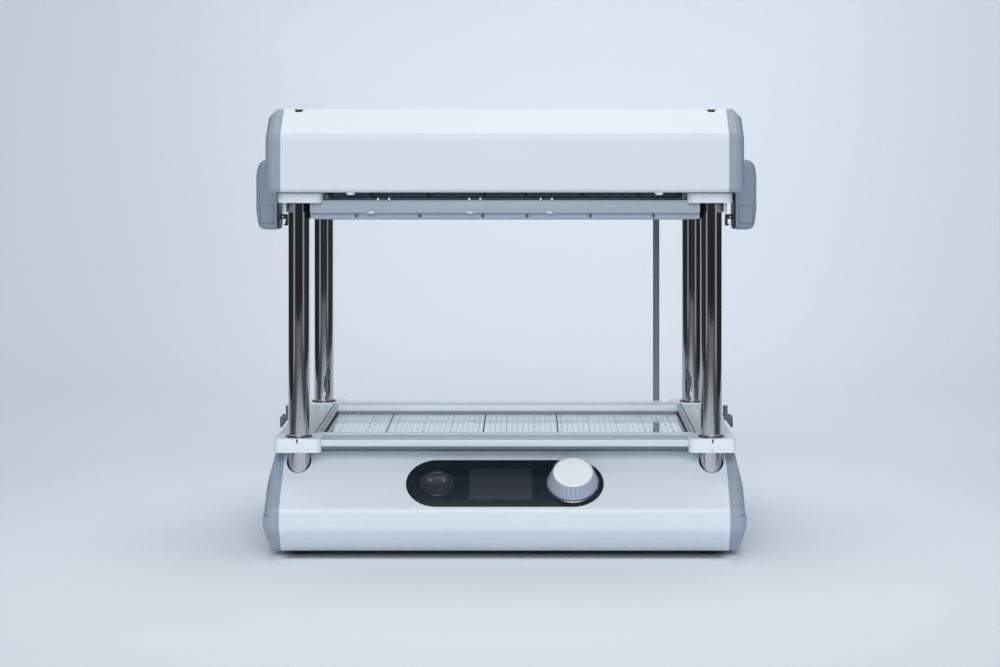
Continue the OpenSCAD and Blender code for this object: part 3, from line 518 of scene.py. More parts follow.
def finishes():
    """Every finish by the slot name it covers."""
    casing = sheet()
    return {
        "white_sheet": powder_coat("White powder coat", casing.white),
        "white_frame": powder_coat("White frame coat", casing.frame_white),
        "grey_moulding": grey_moulding(),
        "white_plastic": satin("White plastic", (0.86, 0.93, 0.95), 0.34),
        "black_plastic": satin("Black plastic", (0.018, 0.02, 0.024), 0.45),
        "gloss_black": gloss_panel(),
        "dark_glass": display_glass(),
        "circuit_board": circuit_board(),
        "black_rubber": satin("Black rubber", (0.02, 0.021, 0.023), 0.75, 900.0, 0.05),
        "silicone": satin("Silicone seal", (0.52, 0.56, 0.60), 0.5, 700.0, 0.03),
        "steel_tube": polished_bar(),
        "zinc_steel": plated_steel(),
        "motor_shell": plated_steel(),
        "black_steel": satin("Black oxide", (0.012, 0.013, 0.016), 0.32),
        "mirror_steel": ruled_mirror(),
        "reflector": reflector_sheet(),
        "ceramic": ceramic(),
        "fibre": fibre_pad(),
        "grey_cable": satin("Grey cable sheath", (0.22, 0.25, 0.29), 0.5, 1200.0, 0.03),
    }


def extra_finishes():
    """Finishes of pieces that differ from others of their slot."""
    return {
        # Painted shade: the upper rail is toned well below the frame coat for the shade under the
        # housing's overhang, and its band is painted near-black.
        "upper_rail": satin_rail("Upper rail", (0.53, 0.56, 0.62), band=True),
        # Painted light: the lower rail's rear is toned 1.24 times lighter than its front.
        "lower_rail": satin_rail("Lower rail", (0.93, 0.95, 0.97), rear=1.24),
        # Painted shade: both seals turn black at their sides for the shaded gaps beside them.
        "gasket": dark_sided("Bed gasket", SEAL_GREY, 0.2185),
        "frame_seal": dark_sided("Lower frame seal", (0.66, 0.72, 0.77), 0.2225),
        "button_face": satin("Button face", (0.024, 0.030, 0.041), 0.2, 300.0, 0.0005),
        "button_ring": satin("Button ring", (0.017, 0.022, 0.031), 0.26),
        "mouth_seal": mouth_rubber(),
        "bright_head": bright_head(),
        "clip": satin("Strip clip", (0.05, 0.065, 0.085), 0.45),
        # Partly painted highlight: the studs' grey is lighter than the button face; they also catch
        # real lamp highlights.
        "stud": satin("Button stud", (0.15, 0.17, 0.19), 0.15, 300.0, 0.0005),
        "catch": satin("Catch", (0.11, 0.13, 0.15), 0.4),
        "skirt": satin("Knob skirt", (0.40, 0.46, 0.575), 0.42),
        # Painted shade: the dark strip under the lower frame stands in for the shaded gap there.
        "under_strip": satin("Strip under the lower frame", (0.13, 0.165, 0.20), 0.6),
        # Painted light: the collar coat is the frame coat made a tenth lighter.
        "collar_white": powder_coat("Collar coat", shade(sheet().frame_white, 1.1)),
        "pad_seam": satin("Seam round the finger pad", shade(sheet().grey, 0.45), 0.6),
    }


COATS = {}


def slot_of(node):
    for entry in frame["record"]["subparts"]:
        if entry["node"] == node:
            return entry["material_slot"]
    raise KeyError(node)


def coat(piece, finish):
    """Gives a mesh one finish all over."""
    piece.data.materials.clear()
    piece.data.materials.append(COATS[finish])


def paint_nodes(*names):
    for name in names:
        coat(NODES[name], slot_of(name))


# Mesh building
def new_piece(name, mesh, body, slot, *replaced, finish=None):
    """Links a mesh, gives it its finish and its body, and hides the nodes it stands for."""
    piece = bpy.data.objects.new(name, mesh)
    bpy.context.scene.collection.objects.link(piece)
    coat(piece, finish or slot)
    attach(piece, body)
    if replaced:
        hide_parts(*replaced)
    return piece


def smooth(mesh, angle=40.0):
    for polygon in mesh.polygons:
        polygon.use_smooth = True
    mesh.set_sharp_from_angle(angle=math.radians(angle))


def lathe(name, profile, place, segments=96, ripple=None):
    """A closed turned shape.

    The profile is (radius, height), and ripple(angle, height) changes a radius.
    """
    shape = bmesh.new()
    rings = []
    for radius, height in profile:
        if radius == 0:
            rings.append([shape.verts.new((0.0, 0.0, height))])
            continue
        ring = []
        for step in range(segments):
            angle = 2 * math.pi * step / segments
            reach = radius + (ripple(angle, height) if ripple else 0.0)
            ring.append(shape.verts.new((reach * math.cos(angle), reach * math.sin(angle), height)))
        rings.append(ring)
    for lower, upper in zip(rings, rings[1:]):
        for step in range(segments):
            after = (step + 1) % segments
            if len(lower) == 1:
                shape.faces.new((lower[0], upper[after], upper[step]))
            elif len(upper) == 1:
                shape.faces.new((lower[step], lower[after], upper[0]))
            else:
                shape.faces.new((lower[step], lower[after], upper[after], upper[step]))
    bmesh.ops.recalc_face_normals(shape, faces=shape.faces)
    mesh = bpy.data.meshes.new(name)
    shape.to_mesh(mesh)
    shape.free()
    mesh.transform(place)
    smooth(mesh)
    return mesh


def softened(node, width, segments=2, angle=30.0):
    """A copy of a node with its sharp edges broken."""
    source = NODES[node]
    mesh = source.data.copy()
    shape = bmesh.new()
    shape.from_mesh(mesh)
    bmesh.ops.remove_doubles(shape, verts=shape.verts, dist=0.002 * MM)
    bmesh.ops.dissolve_limit(
        shape, angle_limit=math.radians(0.5), verts=shape.verts, edges=shape.edges)
    shape.to_mesh(mesh)
    shape.free()
    piece = bpy.data.objects.new(node + "_worked", mesh)
    bpy.context.scene.collection.objects.link(piece)
    bevel = piece.modifiers.new("Broken edges", "BEVEL")
    bevel.width = width
    bevel.segments = segments
    bevel.limit_method = "ANGLE"
    bevel.angle_limit = math.radians(angle)
    bevel.harden_normals = False
    bpy.context.view_layer.update()
    depsgraph = bpy.context.evaluated_depsgraph_get()
    worked = bpy.data.meshes.new_from_object(piece.evaluated_get(depsgraph))
    bpy.data.objects.remove(piece)
    worked.name = node + "_worked"
    smooth(worked, 35.0)
    return worked


def work_nodes(body, names, width, segments=2, finish=None):
    for name in names:
        mesh = softened(name, width, segments)
        new_piece(name + "_worked", mesh, body, slot_of(name), name, finish=finish)


def islands(node):
    """The middle of each separate solid of a node."""
    shape = bmesh.new()
    shape.from_mesh(NODES[node].data)
    bmesh.ops.remove_doubles(shape, verts=shape.verts, dist=0.002 * MM)
    left = set(shape.verts)
    centres = []
    while left:
        queue = [left.pop()]
        found = list(queue)
        while queue:
            for edge in queue.pop().link_edges:
                for vert in edge.verts:
                    if vert in left:
                        left.remove(vert)
                        found.append(vert)
                        queue.append(vert)
        low = Vector([min(vert.co[i] for vert in found) for i in range(3)])
        high = Vector([max(vert.co[i] for vert in found) for i in range(3)])
        centres.append((low + high) / 2)
    shape.free()
    return centres


# Geometry Nodes
class Tree:
    """A geometry node tree with named inputs."""

    def __init__(self, name):
        self.tree = bpy.data.node_groups.new(name, "GeometryNodeTree")
        face = self.tree.interface
        self.ids = {}
        face.new_socket("Geometry", in_out="INPUT", socket_type="NodeSocketGeometry")
        face.new_socket("Geometry", in_out="OUTPUT", socket_type="NodeSocketGeometry")
        self.start = self.tree.nodes.new("NodeGroupInput")
        self.end = self.tree.nodes.new("NodeGroupOutput")

    def size(self, name, kind="NodeSocketFloat"):
        item = self.tree.interface.new_socket(name, in_out="INPUT", socket_type=kind)
        self.ids[name] = item.identifier
        return self.start.outputs[name]

    def add(self, kind, settings=None, **links):
        made = self.tree.nodes.new(kind)
        for key, value in (settings or {}).items():
            setattr(made, key, value)
        for key, value in links.items():
            target = made.inputs[key.replace("_", " ")]
            if isinstance(value, bpy.types.NodeSocket):
                self.tree.links.new(value, target)
            else:
                target.default_value = value
        return made

    def finish(self, geometry, material):
        real = self.add("GeometryNodeRealizeInstances", Geometry=geometry)
        done = self.add("GeometryNodeSetMaterial", Geometry=real.outputs[0], Material=material)
        self.tree.links.new(done.outputs[0], self.end.inputs[0])

    def grown(self, name, points, sizes):
        """The tree's result on loose points, as a plain mesh."""
        seed = bpy.data.meshes.new(name + "_points")
        seed.from_pydata([tuple(point) for point in points], [], [])
        carrier = bpy.data.objects.new(name + "_carrier", seed)
        bpy.context.scene.collection.objects.link(carrier)
        modifier = carrier.modifiers.new(name, "NODES")
        modifier.node_group = self.tree
        for key, value in sizes.items():
            modifier[self.ids[key]] = value
        bpy.context.view_layer.update()
        depsgraph = bpy.context.evaluated_depsgraph_get()
        mesh = bpy.data.meshes.new_from_object(carrier.evaluated_get(depsgraph))
        bpy.data.objects.remove(carrier)
        mesh.name = name
        return mesh


def screw_tree(material):
    """A pan head with a cross recess on each point, facing along the turned Z axis."""
    tree = Tree("Pan head screws")
    radius = tree.size("Head radius")
    height = tree.size("Head height")
    turn = tree.size("Turn", "NodeSocketVector")
    head = tree.add(
        "GeometryNodeMeshCone", {"fill_type": "NGON"}, Vertices=24, Side_Segments=1,
        Radius_Top=0.0017, Radius_Bottom=radius, Depth=height)
    slot_sizes = ((0.0026, 0.0006, 0.0012), (0.0006, 0.0026, 0.0012))
    cutters = [tree.add("GeometryNodeMeshCube", Size=size) for size in slot_sizes]
    cross = tree.add("GeometryNodeMeshBoolean", {"operation": "UNION"})
    for cutter in cutters:
        tree.tree.links.new(cutter.outputs[0], cross.inputs["Mesh"])
    seat = tree.add("ShaderNodeCombineXYZ", X=0.0, Y=0.0, Z=height)
    raised = tree.add(
        "GeometryNodeTransform", Geometry=cross.outputs[0], Translation=seat.outputs[0])
    cut = tree.add("GeometryNodeMeshBoolean", {"operation": "DIFFERENCE"})
    tree.tree.links.new(head.outputs[0], cut.inputs["Mesh 1"])
    tree.tree.links.new(raised.outputs[0], cut.inputs["Mesh 2"])
    spread = tree.add(
        "GeometryNodeInstanceOnPoints", Points=tree.start.outputs["Geometry"],
        Instance=cut.outputs[0], Rotation=turn)
    tree.finish(spread.outputs[0], material)
    return tree


def rim_tree(material):
    """A low pressed ring round each point."""
    tree = Tree("Suction hole rims")
    radius = tree.size("Rim radius")
    wire = tree.size("Rim wire")
    path = tree.add("GeometryNodeCurvePrimitiveCircle", Resolution=16, Radius=radius)
    section = tree.add("GeometryNodeCurvePrimitiveCircle", Resolution=6, Radius=wire)
    ring = tree.add(
        "GeometryNodeCurveToMesh", Curve=path.outputs[0], Profile_Curve=section.outputs[0])
    spread = tree.add(
        "GeometryNodeInstanceOnPoints", Points=tree.start.outputs["Geometry"],
        Instance=ring.outputs[0])
    tree.finish(spread.outputs[0], material)
    return tree


def dome_tree(material):
    """A low round head on each point, stretched to its three sizes."""
    tree = Tree("Low round heads")
    size = tree.size("Head size", "NodeSocketVector")
    ball = tree.add("GeometryNodeMeshUVSphere", Segments=20, Rings=10, Radius=1.0)
    spread = tree.add(
        "GeometryNodeInstanceOnPoints", Points=tree.start.outputs["Geometry"],
        Instance=ball.outputs[0], Scale=size)
    tree.finish(spread.outputs[0], material)
    return tree


def block_tree(material):
    """A small block on each point."""
    tree = Tree("Small blocks")
    size = tree.size("Block size", "NodeSocketVector")
    cube = tree.add("GeometryNodeMeshCube", Size=size)
    spread = tree.add(
        "GeometryNodeInstanceOnPoints", Points=tree.start.outputs["Geometry"],
        Instance=cube.outputs[0])
    tree.finish(spread.outputs[0], material)
    return tree


def bevelled_block(name, low, high, radius, segments=2):
    """A block with all its edges rounded."""
    shape = bmesh.new()
    bmesh.ops.create_cube(shape, size=1.0)
    for vert in shape.verts:
        vert.co = Vector([
            low[i] if vert.co[i] < 0 else high[i] for i in range(3)])
    bmesh.ops.bevel(
        shape, geom=shape.edges[:], offset=radius, segments=segments, profile=0.5,
        affect="EDGES")
    mesh = bpy.data.meshes.new(name)
    shape.to_mesh(mesh)
    shape.free()
    smooth(mesh, 50.0)
    return mesh


class FORMER_OT_casings(bpy.types.Operator):
    """Coats the base and housing covers, their side caps, the pan, the feet and the rear parts"""

    bl_idname = "former.casings"
    bl_label = "Casings"

    def execute(self, context):
        paint_nodes(
            "base_cover", "heater_cover", "base_pan", "base_cap_left", "base_cap_right",
            "heater_cap_left", "heater_cap_right", "feet", "rest_pads", "rear_panel",
            "mains_inlet", "housing_pads", "parking_magnets", "vacuum_box", "motor_seal",
            "vacuum_motor", "power_supply", "post_sockets", "post_spacers")
        return {"FINISHED"}


class FORMER_OT_posts(bpy.types.Operator):
    """Polishes the four posts and finishes the screws above them"""

    bl_idname = "former.posts"
    bl_label = "Posts"

    def execute(self, context):
        paint_nodes("post_front_left", "post_front_right", "post_rear_left", "post_rear_right")
        paint_nodes("post_screws")
        return {"FINISHED"}


class FORMER_OT_bed(bpy.types.Operator):
    """Rules the mirror bed and presses a rim round each suction hole"""

    bl_idname = "former.bed"
    bl_label = "Bed"

    def execute(self, context):
        paint_nodes("bed_plate")
        coat(NODES["bed_gasket"], "gasket")
        settings = bed()
        low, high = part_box("bed_plate")
        margin = 0.015
        count_x = math.floor((high[0] - margin) / settings.hole_pitch)
        count_y = math.floor((high[1] - margin) / settings.hole_pitch)
        holes = [
            (i * settings.hole_pitch, j * settings.hole_pitch, high[2])
            for i in range(-count_x, count_x + 1)
            for j in range(-count_y, count_y + 1)
        ]
        sizes = {"Rim radius": settings.rim, "Rim wire": 0.18 * MM}
        mesh = rim_tree(COATS["zinc_steel"]).grown("bed_hole_rims", holes, sizes)
        smooth(mesh, 60.0)
        new_piece("bed_hole_rims", mesh, "base", "zinc_steel")
        return {"FINISHED"}


class FORMER_OT_clamps(bpy.types.Operator):
    """Finishes both clamp frames, their collars, bushes, seals, screws and catches"""

    bl_idname = "former.clamps"
    bl_label = "Clamp frames"

    def execute(self, context):
        edge = sheet().edge
        work_nodes("upper_clamp", ("upper_frame",), edge, finish="upper_rail")
        work_nodes("upper_clamp", ("upper_collars",), edge * 1.5, 3)
        work_nodes("lower_clamp", ("lower_frame",), edge, finish="lower_rail")
        work_nodes("lower_clamp", ("lower_collars",), edge * 1.5, 3, finish="collar_white")
        paint_nodes("upper_bushes", "lower_bushes", "upper_seal", "latch_pins")
        coat(NODES["lower_seal"], "frame_seal")
        work_nodes("lower_clamp", ("frame_catches",), 0.4 * MM, finish="catch")
        self.screws()
        self.rail_heads()
        self.lower_marks()
        return {"FINISHED"}

    def rail_heads(self):
        """Bright heads in pairs on the front rail, and low buttons along its lower edge."""
        low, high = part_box("upper_frame")
        rail_top = high[2]
        head_places = (-0.1475, -0.1345, -0.0415, -0.0285, 0.0415, 0.0545)
        button_places = (-0.1547, -0.0405, 0.0516)
        button_drop = 14.2 * MM
        pairs = [(x, low[1] + 9 * MM, rail_top) for x in head_places]
        mesh = dome_tree(COATS["bright_head"]).grown(
            "rail_heads", pairs, {"Head size": (2.8 * MM, 2.8 * MM, 3.8 * MM)})
        smooth(mesh, 60.0)
        new_piece("rail_heads", mesh, "upper_clamp", "zinc_steel", finish="bright_head")
        lower_edge = [(x, low[1], rail_top - button_drop) for x in button_places]
        mesh = dome_tree(COATS["lower_rail"]).grown(
            "rail_buttons", lower_edge, {"Head size": (4.4 * MM, 2.4 * MM, 1.9 * MM)})
        smooth(mesh, 60.0)
        new_piece("rail_buttons", mesh, "upper_clamp", "white_frame", finish="lower_rail")

    def lower_marks(self):
        """The clamping slits of the front collars, drawn as black marks of painted shade, and the
        dark strip under the front rail, which stands in for the shade in the gap there.
        """
        low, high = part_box("lower_collars")
        # Painted shade: thin black blocks on the collar faces stand in for the shaded insides of
        # the slits.
        slits = [
            (node_centre(post).x, low[1] + 0.1 * MM, high[2] - 2.6 * MM)
            for post in ("post_front_left", "post_front_right")
        ]
        mesh = block_tree(COATS["black_steel"]).grown(
            "collar_slits", slits, {"Block size": (1.5 * MM, 0.5 * MM, 4.4 * MM)})
        new_piece("collar_slits", mesh, "lower_clamp", "black_steel")
        # Painted shade: a dark strip under the front rail stands in for the shade in the gap below
        # it.
        rail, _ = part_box("lower_frame")
        half = 0.2265
        mesh = bevelled_block(
            "under_strip", (-half, rail[1] + 0.5 * MM, rail[2] - 3.7 * MM),
            (half, rail[1] + 3.5 * MM, rail[2] + 0.2 * MM), 0.4 * MM)
        new_piece("under_strip", mesh, "lower_clamp", "silicone", finish="under_strip")

    def screws(self):
        """Pan heads of the upper frame's screws, before and behind."""
        tree = screw_tree(COATS["catch"])
        centres = islands("frame_screws")
        seat = 0.6 * MM
        for side, word in ((-1.0, "front"), (1.0, "rear")):
            points = [
                (centre.x, centre.y - side * seat, centre.z)
                for centre in centres if centre.y * side > 0
            ]
            sizes = {
                "Head radius": 2.1 * MM,
                "Head height": 1.1 * MM,
                "Turn": (-side * math.pi / 2, 0.0, 0.0),
            }
            mesh = tree.grown("frame_screws_" + word, points, sizes)
            replaced = ("frame_screws",) if side < 0 else ()
            new_piece(
                "frame_screws_" + word, mesh, "upper_clamp", "black_steel", *replaced,
                finish="catch")


class FORMER_OT_handles(bpy.types.Operator):
    """Finishes the side handles, their backing plates and the latches"""

    bl_idname = "former.handles"
    bl_label = "Handles and latches"

    def execute(self, context):
        paint_nodes("handle_shell_left", "handle_shell_right")
        for side in ("left", "right"):
            work_nodes("upper_clamp", ("handle_plate_" + side,), 0.5 * MM)
            work_nodes("latch_" + side, ("latch_" + side,), 0.4 * MM)
            self.insets(side)
        return {"FINISHED"}

    def insets(self, side):
        """A thin finger pad let into the front and the back of a grip."""
        low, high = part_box("handle_shell_" + side)
        near, out = (low[0], 1.0) if side == "right" else (high[0], -1.0)
        across = sorted((near + out * 3.8 * MM, near + out * 20.0 * MM))
        sunk = 0.8 * MM
        parts = (("pad", 0.0, 0.3 * MM, None), ("seam", 0.7 * MM, 0.1 * MM, "pad_seam"))
        for face, word in ((low[1], "front"), (high[1], "rear")):
            for part, rim, proud, finish in parts:
                depth = sorted((
                    face + math.copysign(proud, face), face - math.copysign(sunk, face)))
                mesh = bevelled_block(
                    "grip_%s_%s_%s" % (part, side, word),
                    (across[0] - rim, depth[0], low[2] + 8 * MM - rim),
                    (across[1] + rim, depth[1], low[2] + 29 * MM + rim), 0.05 * MM)
                new_piece(mesh.name, mesh, "upper_clamp", "grey_moulding", finish=finish)


class FORMER_OT_controls(bpy.types.Operator):
    """Makes the control panel, the display window and the dished power button"""

    bl_idname = "former.controls"
    bl_label = "Control panel"

    def execute(self, context):
        paint_nodes(
            "control_panel", "display_lens", "display_module", "control_board", "power_switch")
        self.bezel()
        self.button()
        return {"FINISHED"}

    def bezel(self):
        low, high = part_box("power_bezel")
        outer = (high[0] - low[0]) / 2
        inner = outer - 4.2 * MM
        place = face_matrix(face_point("power_bezel"))
        top = 0.95 * MM
        profile = [
            (inner, 0.0), (inner, 0.35 * MM), (inner + 0.5 * MM, 0.7 * MM),
            (inner + 1.2 * MM, top), (outer - 1.4 * MM, top), (outer - 0.5 * MM, 0.7 * MM),
            (outer - 0.1 * MM, 0.3 * MM), (outer - 0.1 * MM, 0.0), (inner, 0.0),
        ]
        mesh = lathe("power_bezel_worked", profile, place)
        new_piece(
            "power_bezel_worked", mesh, "base", "gloss_black", "power_bezel", finish="button_ring")

    def button(self):
        low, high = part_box("power_button")
        radius = (high[0] - low[0]) / 2 - 2.0 * MM
        dish = controls().dish
        top = 1.1 * MM
        place = face_matrix(face_point("power_button"))
        hollow = [
            (radius * share, top - dish * (1.0 - share ** 2))
            for share in (0.88, 0.7, 0.5, 0.3, 0.15)
        ]
        profile = [
            (0.0, -5.0 * MM), (radius + 1.6 * MM, -5.0 * MM), (radius + 1.6 * MM, -3.8 * MM),
            (radius, -3.8 * MM), (radius, top - 0.7 * MM), (radius - 0.3 * MM, top - 0.2 * MM),
            (radius * 0.93, top), *hollow, (0.0, top - dish),
        ]
        mesh = lathe("power_button_worked", profile, place)
        new_piece(
            "power_button_worked", mesh, "power_button", "gloss_black", "power_button",
            finish="button_face")
        # Two low studs catch lamp highlights on the button; their lighter grey is partly a painted
        # highlight.
        stud = 3.0 * MM
        studs = [place @ Vector((x, 4.2 * MM, -1.85 * MM)) for x in (-7.6 * MM, 7.6 * MM)]
        mesh = dome_tree(COATS["stud"]).grown(
            "button_studs", studs, {"Head size": (stud, stud, stud)})
        smooth(mesh, 60.0)
        new_piece("button_studs", mesh, "power_button", "gloss_black", finish="stud")


class FORMER_OT_knob(bpy.types.Operator):
    """Makes the fluted knob skirt, its white face and the pale ring under it"""

    bl_idname = "former.knob"
    bl_label = "Knob"

    def execute(self, context):
        paint_nodes("encoder", "encoder_shaft")
        place = face_matrix(face_point("knob_skirt"))
        base_radius = (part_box("knob_skirt")[1][0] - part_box("knob_skirt")[0][0]) / 2
        face_radius = (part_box("knob_cap")[1][0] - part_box("knob_cap")[0][0]) / 2
        bottom = 1.8 * MM
        shoulder = bottom + 14.8 * MM
        self.skirt(place, base_radius, face_radius + 1.2 * MM, bottom, shoulder)
        self.face(place, face_radius + 0.4 * MM, shoulder)
        self.ring(place, base_radius)
        return {"FINISHED"}

    def skirt(self, place, wide, narrow, bottom, shoulder):
        settings = controls()

        def flutes(angle, height):
            share = (height - bottom) / (shoulder - bottom)
            if share < 0.14 or share > 0.97:
                return 0.0
            wave = abs(math.sin(angle * settings.flutes / 2))
            fade = min(1.0, (share - 0.14) / 0.12)
            return -settings.flute_depth * (1.0 - wave) ** 6 * fade

        levels = [0.10, 0.14, 0.2, 0.3, 0.45, 0.6, 0.75, 0.9, 0.97]
        wall = [
            (wide + (narrow + 0.3 * MM - wide) * share, bottom + (shoulder - bottom) * share)
            for share in levels
        ]
        profile = [
            (wide - 4.0 * MM, bottom), (wide - 0.5 * MM, bottom), (wide, bottom + 0.4 * MM),
            *wall, (narrow, shoulder + 0.6 * MM), (narrow - 0.2 * MM, shoulder + 1.6 * MM),
            (narrow - 0.8 * MM, shoulder + 1.7 * MM), (narrow - 1.2 * MM, shoulder),
            (narrow - 3.0 * MM, shoulder - 2.0 * MM), (wide - 4.0 * MM, bottom),
        ]
        mesh = lathe("knob_skirt_worked", profile, place, settings.flutes * 8, flutes)
        smooth(mesh, 50.0)
        new_piece("knob_skirt_worked", mesh, "knob", "grey_moulding", "knob_skirt", finish="skirt")

    def face(self, place, radius, shoulder):
        thick = 2.2 * MM
        profile = [
            (0.0, shoulder - 0.8 * MM), (radius - 3.5 * MM, shoulder - 0.8 * MM),
            (radius - 3.5 * MM, shoulder), (radius - 0.3 * MM, shoulder),
            (radius, shoulder + 0.4 * MM), (radius - 0.15 * MM, shoulder + 1.0 * MM),
            (radius - 0.9 * MM, shoulder + 1.7 * MM),
            (radius - 2.4 * MM, shoulder + thick - 0.1 * MM), (radius * 0.7, shoulder + thick),
            (radius * 0.4, shoulder + thick - 0.1 * MM), (0.0, shoulder + thick - 0.15 * MM),
        ]
        mesh = lathe("knob_face_worked", profile, place, 128)
        new_piece("knob_face_worked", mesh, "knob", "white_plastic", "knob_cap")

    def ring(self, place, wide):
        profile = [
            (wide - 5.8 * MM, 0.0), (wide + 1.4 * MM, 0.0), (wide + 1.3 * MM, 0.4 * MM),
            (wide + 0.7 * MM, 0.8 * MM), (wide - 5.8 * MM, 0.8 * MM), (wide - 5.8 * MM, 0.0),
        ]
        mesh = lathe("knob_ring_worked", profile, place, 128)
        new_piece("knob_ring_worked", mesh, "base", "zinc_steel", "knob_bezel")


class FORMER_OT_heater(bpy.types.Operator):
    """Finishes the tray, the elements and the fibre pad, and adds the draught strips"""

    bl_idname = "former.heater"
    bl_label = "Heater"

    def execute(self, context):
        paint_nodes("heater_tray", "insulation_pad")
        work_nodes("base", ("heating_elements",), 1.5 * MM, 3)
        self.mouth_seal()
        return {"FINISHED"}

    def mouth_seal(self):
        """Draught strips under the housing, before and behind the mouth, with their clips."""
        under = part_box("heater_cover")[0][2]
        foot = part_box("upper_frame")[1][2] + 0.7 * MM
        half = 0.207
        clip_places = (-0.156, -0.090, -0.024, 0.024, 0.090, 0.156)
        end_places = (-0.2042, 0.2042)
        for side, word in ((-1.0, "front"), (1.0, "rear")):
            place = sorted((side * 0.1500, side * 0.1525))
            mesh = bevelled_block(
                "mouth_strip_" + word, (-half, place[0], foot), (half, place[1], under), 0.4 * MM)
            new_piece("mouth_strip_" + word, mesh, "base", "silicone", finish="mouth_seal")
            middle = (under + foot) / 2
            clips = [(x, side * 0.1530, middle) for x in clip_places]
            mesh = block_tree(COATS["clip"]).grown(
                "mouth_clips_" + word, clips, {"Block size": (3.5 * MM, 1.4 * MM, under - foot)})
            new_piece("mouth_clips_" + word, mesh, "base", "black_steel", finish="clip")
            ends = [(x, side * 0.1530, middle) for x in end_places]
            mesh = block_tree(COATS["black_steel"]).grown(
                "mouth_ends_" + word, ends, {"Block size": (6.0 * MM, 1.6 * MM, under - foot)})
            new_piece("mouth_ends_" + word, mesh, "base", "black_steel")


class FORMER_OT_cable(bpy.types.Operator):
    """Finishes the heater cable and its glands"""

    bl_idname = "former.cable"
    bl_label = "Heater cable"

    def execute(self, context):
        paint_nodes("heater_cable")
        work_nodes("base", ("cable_glands",), 0.5 * MM)
        return {"FINISHED"}


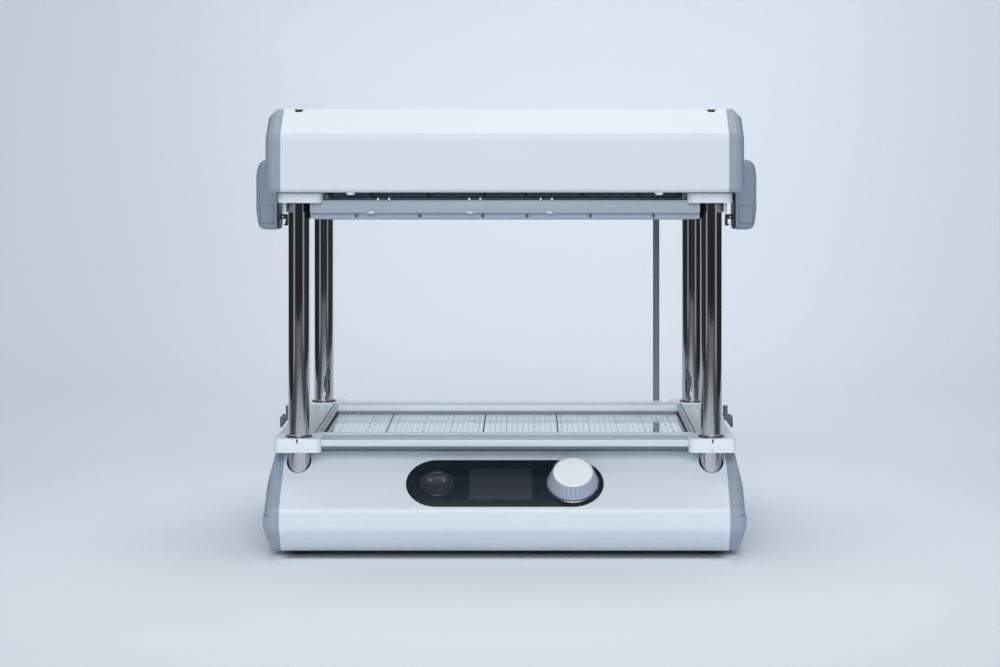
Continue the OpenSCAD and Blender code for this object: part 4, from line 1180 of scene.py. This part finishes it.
class FORMER_OT_stage(bpy.types.Operator):
    """Sets up the pale seamless backdrop, the lamps and the camera"""

    bl_idname = "former.stage"
    bl_label = "Studio"

    def execute(self, context):
        self.backdrop()
        self.world()
        self.lamps()
        self.camera()
        context.scene.view_settings.view_transform = "Standard"
        return {"FINISHED"}

    def backdrop(self):
        radius, back, front, half, high = 1.2, 2.6, -3.1, 1.7, 4.5
        line = [(front, 0.0), (back - radius, 0.0)]
        line += [
            (back - radius + radius * math.sin(turn), radius - radius * math.cos(turn))
            for turn in [math.radians(6 * step) for step in range(1, 15)]
        ]
        line += [(back, radius), (back, high)]
        verts = [(x, y, z) for y, z in line for x in (-half, half)]
        faces = [
            (2 * i, 2 * i + 1, 2 * i + 3, 2 * i + 2) for i in range(len(line) - 1)
        ]
        mesh = bpy.data.meshes.new("seamless_backdrop")
        mesh.from_pydata(verts, [], faces)
        smooth(mesh, 60.0)
        drop = bpy.data.objects.new("seamless_backdrop", mesh)
        bpy.context.scene.collection.objects.link(drop)
        drop.data.materials.append(self.paper())

    def paper(self):
        """Pale paper with a painted pool of light round the model, painted falloff shade towards
        the sides and top, near-black paper out of view, and a painted contact shadow under the
        base.
        """
        pale = studio().pale
        paper = Finish("Seamless paper", pale, 0.9)
        across, along, up = paper.axes()
        # Painted light: near is a pool of light painted round the model.
        reach = (across * across + (along + 0.3) * (along + 0.3)).power(0.5)
        near = paper.ramp(reach, 1.1, 0.15) * paper.ramp(up, 0.3, 0.1)
        # Painted shade: edge darkens the paper towards the sides and the top, as light falloff.
        edge = paper.node(
            "ShaderNodeMath", {"operation": "MAXIMUM"},
            paper.ramp(abs(across - 0.06), 0.25, 0.95), paper.ramp(up, 0.45, 0.95))
        open_paper = paper.mix(edge, pale, shade(pale, 0.91))
        lighter = tuple(part * rise for part, rise in zip(pale, (1.2, 1.2, 1.16)))
        lit = paper.mix(near, open_paper, lighter)
        front = paper.ramp(along, -0.8, -2.5)
        aside = paper.ramp(abs(across) - 0.2 * along, 0.8, 1.2) * paper.ramp(along, 0.6, -0.4)
        # Painted shadow: under is a contact shadow painted beneath the base.
        under = 0.75 * paper.ramp(abs(across), 0.262, 0.245) * paper.ramp(abs(along), 0.220, 0.205)
        dim = 1.0 - (1.0 - front) * (1.0 - aside) * (1.0 - under)
        paper.set("Base Color", paper.mix(dim, lit, shade(pale, 0.13)))
        paper.bump(paper.noise(350.0, 2.0), 0.02 * MM)
        return paper.material

    def world(self):
        """Soft pale light for the surfaces, a dark studio in the polished parts."""
        world = bpy.data.worlds.new("Studio")
        bpy.context.scene.world = world
        world.use_nodes = True
        tree = world.node_tree
        glow = tree.nodes["Background"]
        ray = tree.nodes.new("ShaderNodeLightPath")
        level = tree.nodes.new("ShaderNodeMapRange")
        level.inputs["To Min"].default_value = 0.34
        level.inputs["To Max"].default_value = 0.03
        tree.links.new(ray.outputs["Is Glossy Ray"], level.inputs["Value"])
        tree.links.new(level.outputs[0], glow.inputs["Strength"])
        glow.inputs["Color"].default_value = (0.92, 0.95, 1.0, 1.0)

    def lamps(self):
        self.softbox("Key", (0.0, -4.4, 2.5), (0.0, 0.0, 0.25), 3.0, 1.6, 86.0)
        self.softbox("Front fill", (0.0, -4.6, 1.0), (0.0, 0.0, 0.15), 3.4, 0.8, 31.0)
        self.softbox("Overhead", (0.0, 0.2, 2.7), (0.0, 0.1, 0.0), 2.0, 1.6, 22.0)
        self.softbox("Backdrop", (0.25, 1.2, 2.3), (0.25, 2.6, 0.7), 1.0, 0.6, 15.5)
        self.softbox("Left strip", (-2.4, -2.1, 0.15), (0.0, 0.0, 0.3), 1.1, 0.8, 1.0)
        self.softbox("Right strip", (2.4, -2.1, 0.15), (0.0, 0.0, 0.3), 1.1, 0.8, 1.0)

    def softbox(self, name, place, target, wide, high, power):
        lamp = bpy.data.lights.new(name, "AREA")
        lamp.shape = "RECTANGLE"
        lamp.size = wide
        lamp.size_y = high
        lamp.energy = power
        holder = bpy.data.objects.new(name, lamp)
        holder.location = place
        aim = Vector(target) - Vector(place)
        holder.rotation_euler = aim.to_track_quat("-Z", "Y").to_euler()
        bpy.context.scene.collection.objects.link(holder)

    def camera(self):
        settings = studio()
        eye = bpy.data.cameras.new("Photographer")
        eye.lens = settings.lens
        eye.sensor_width = 36.0
        eye.shift_x = settings.shift_across
        eye.shift_y = settings.shift_down
        eye.clip_end = 100.0
        holder = bpy.data.objects.new("Photographer", eye)
        low, high = CAD_BOX
        holder.location = (settings.aside, low[1] - settings.distance, high[2])
        holder.rotation_euler = (math.pi / 2, 0.0, 0.0)
        bpy.context.scene.collection.objects.link(holder)
        bpy.context.scene.camera = holder


class FORMER_PT_panel(bpy.types.Panel):
    """Lists the steps that dress the vacuum former"""

    bl_idname = "FORMER_PT_panel"
    bl_label = "Vacuum former"
    bl_space_type = "VIEW_3D"
    bl_region_type = "UI"
    bl_category = "Former"

    def draw(self, context):
        settings = context.scene.former
        for group in (settings.casing, settings.bed, settings.controls, settings.studio):
            box = self.layout.box()
            for name in group.__annotations__:
                box.prop(group, name)
        for step in STEPS:
            self.layout.operator(step.bl_idname)


STEPS = (
    FORMER_OT_casings,
    FORMER_OT_posts,
    FORMER_OT_bed,
    FORMER_OT_clamps,
    FORMER_OT_handles,
    FORMER_OT_controls,
    FORMER_OT_knob,
    FORMER_OT_heater,
    FORMER_OT_cable,
    FORMER_OT_stage,
)

CLASSES = (
    CasingSettings,
    BedSettings,
    ControlSettings,
    StudioSettings,
    FormerSettings,
    *STEPS,
    FORMER_PT_panel,
)


def register():
    for cls in CLASSES:
        bpy.utils.register_class(cls)
    bpy.types.Scene.former = bpy.props.PointerProperty(type=FormerSettings)


def unregister():
    del bpy.types.Scene.former
    for cls in reversed(CLASSES):
        bpy.utils.unregister_class(cls)


def main():
    register()
    COATS.update(finishes())
    COATS.update(extra_finishes())
    for step in STEPS:
        group, action = step.bl_idname.split(".")
        getattr(getattr(bpy.ops, group), action)()


if __name__ == "__main__":
    main()
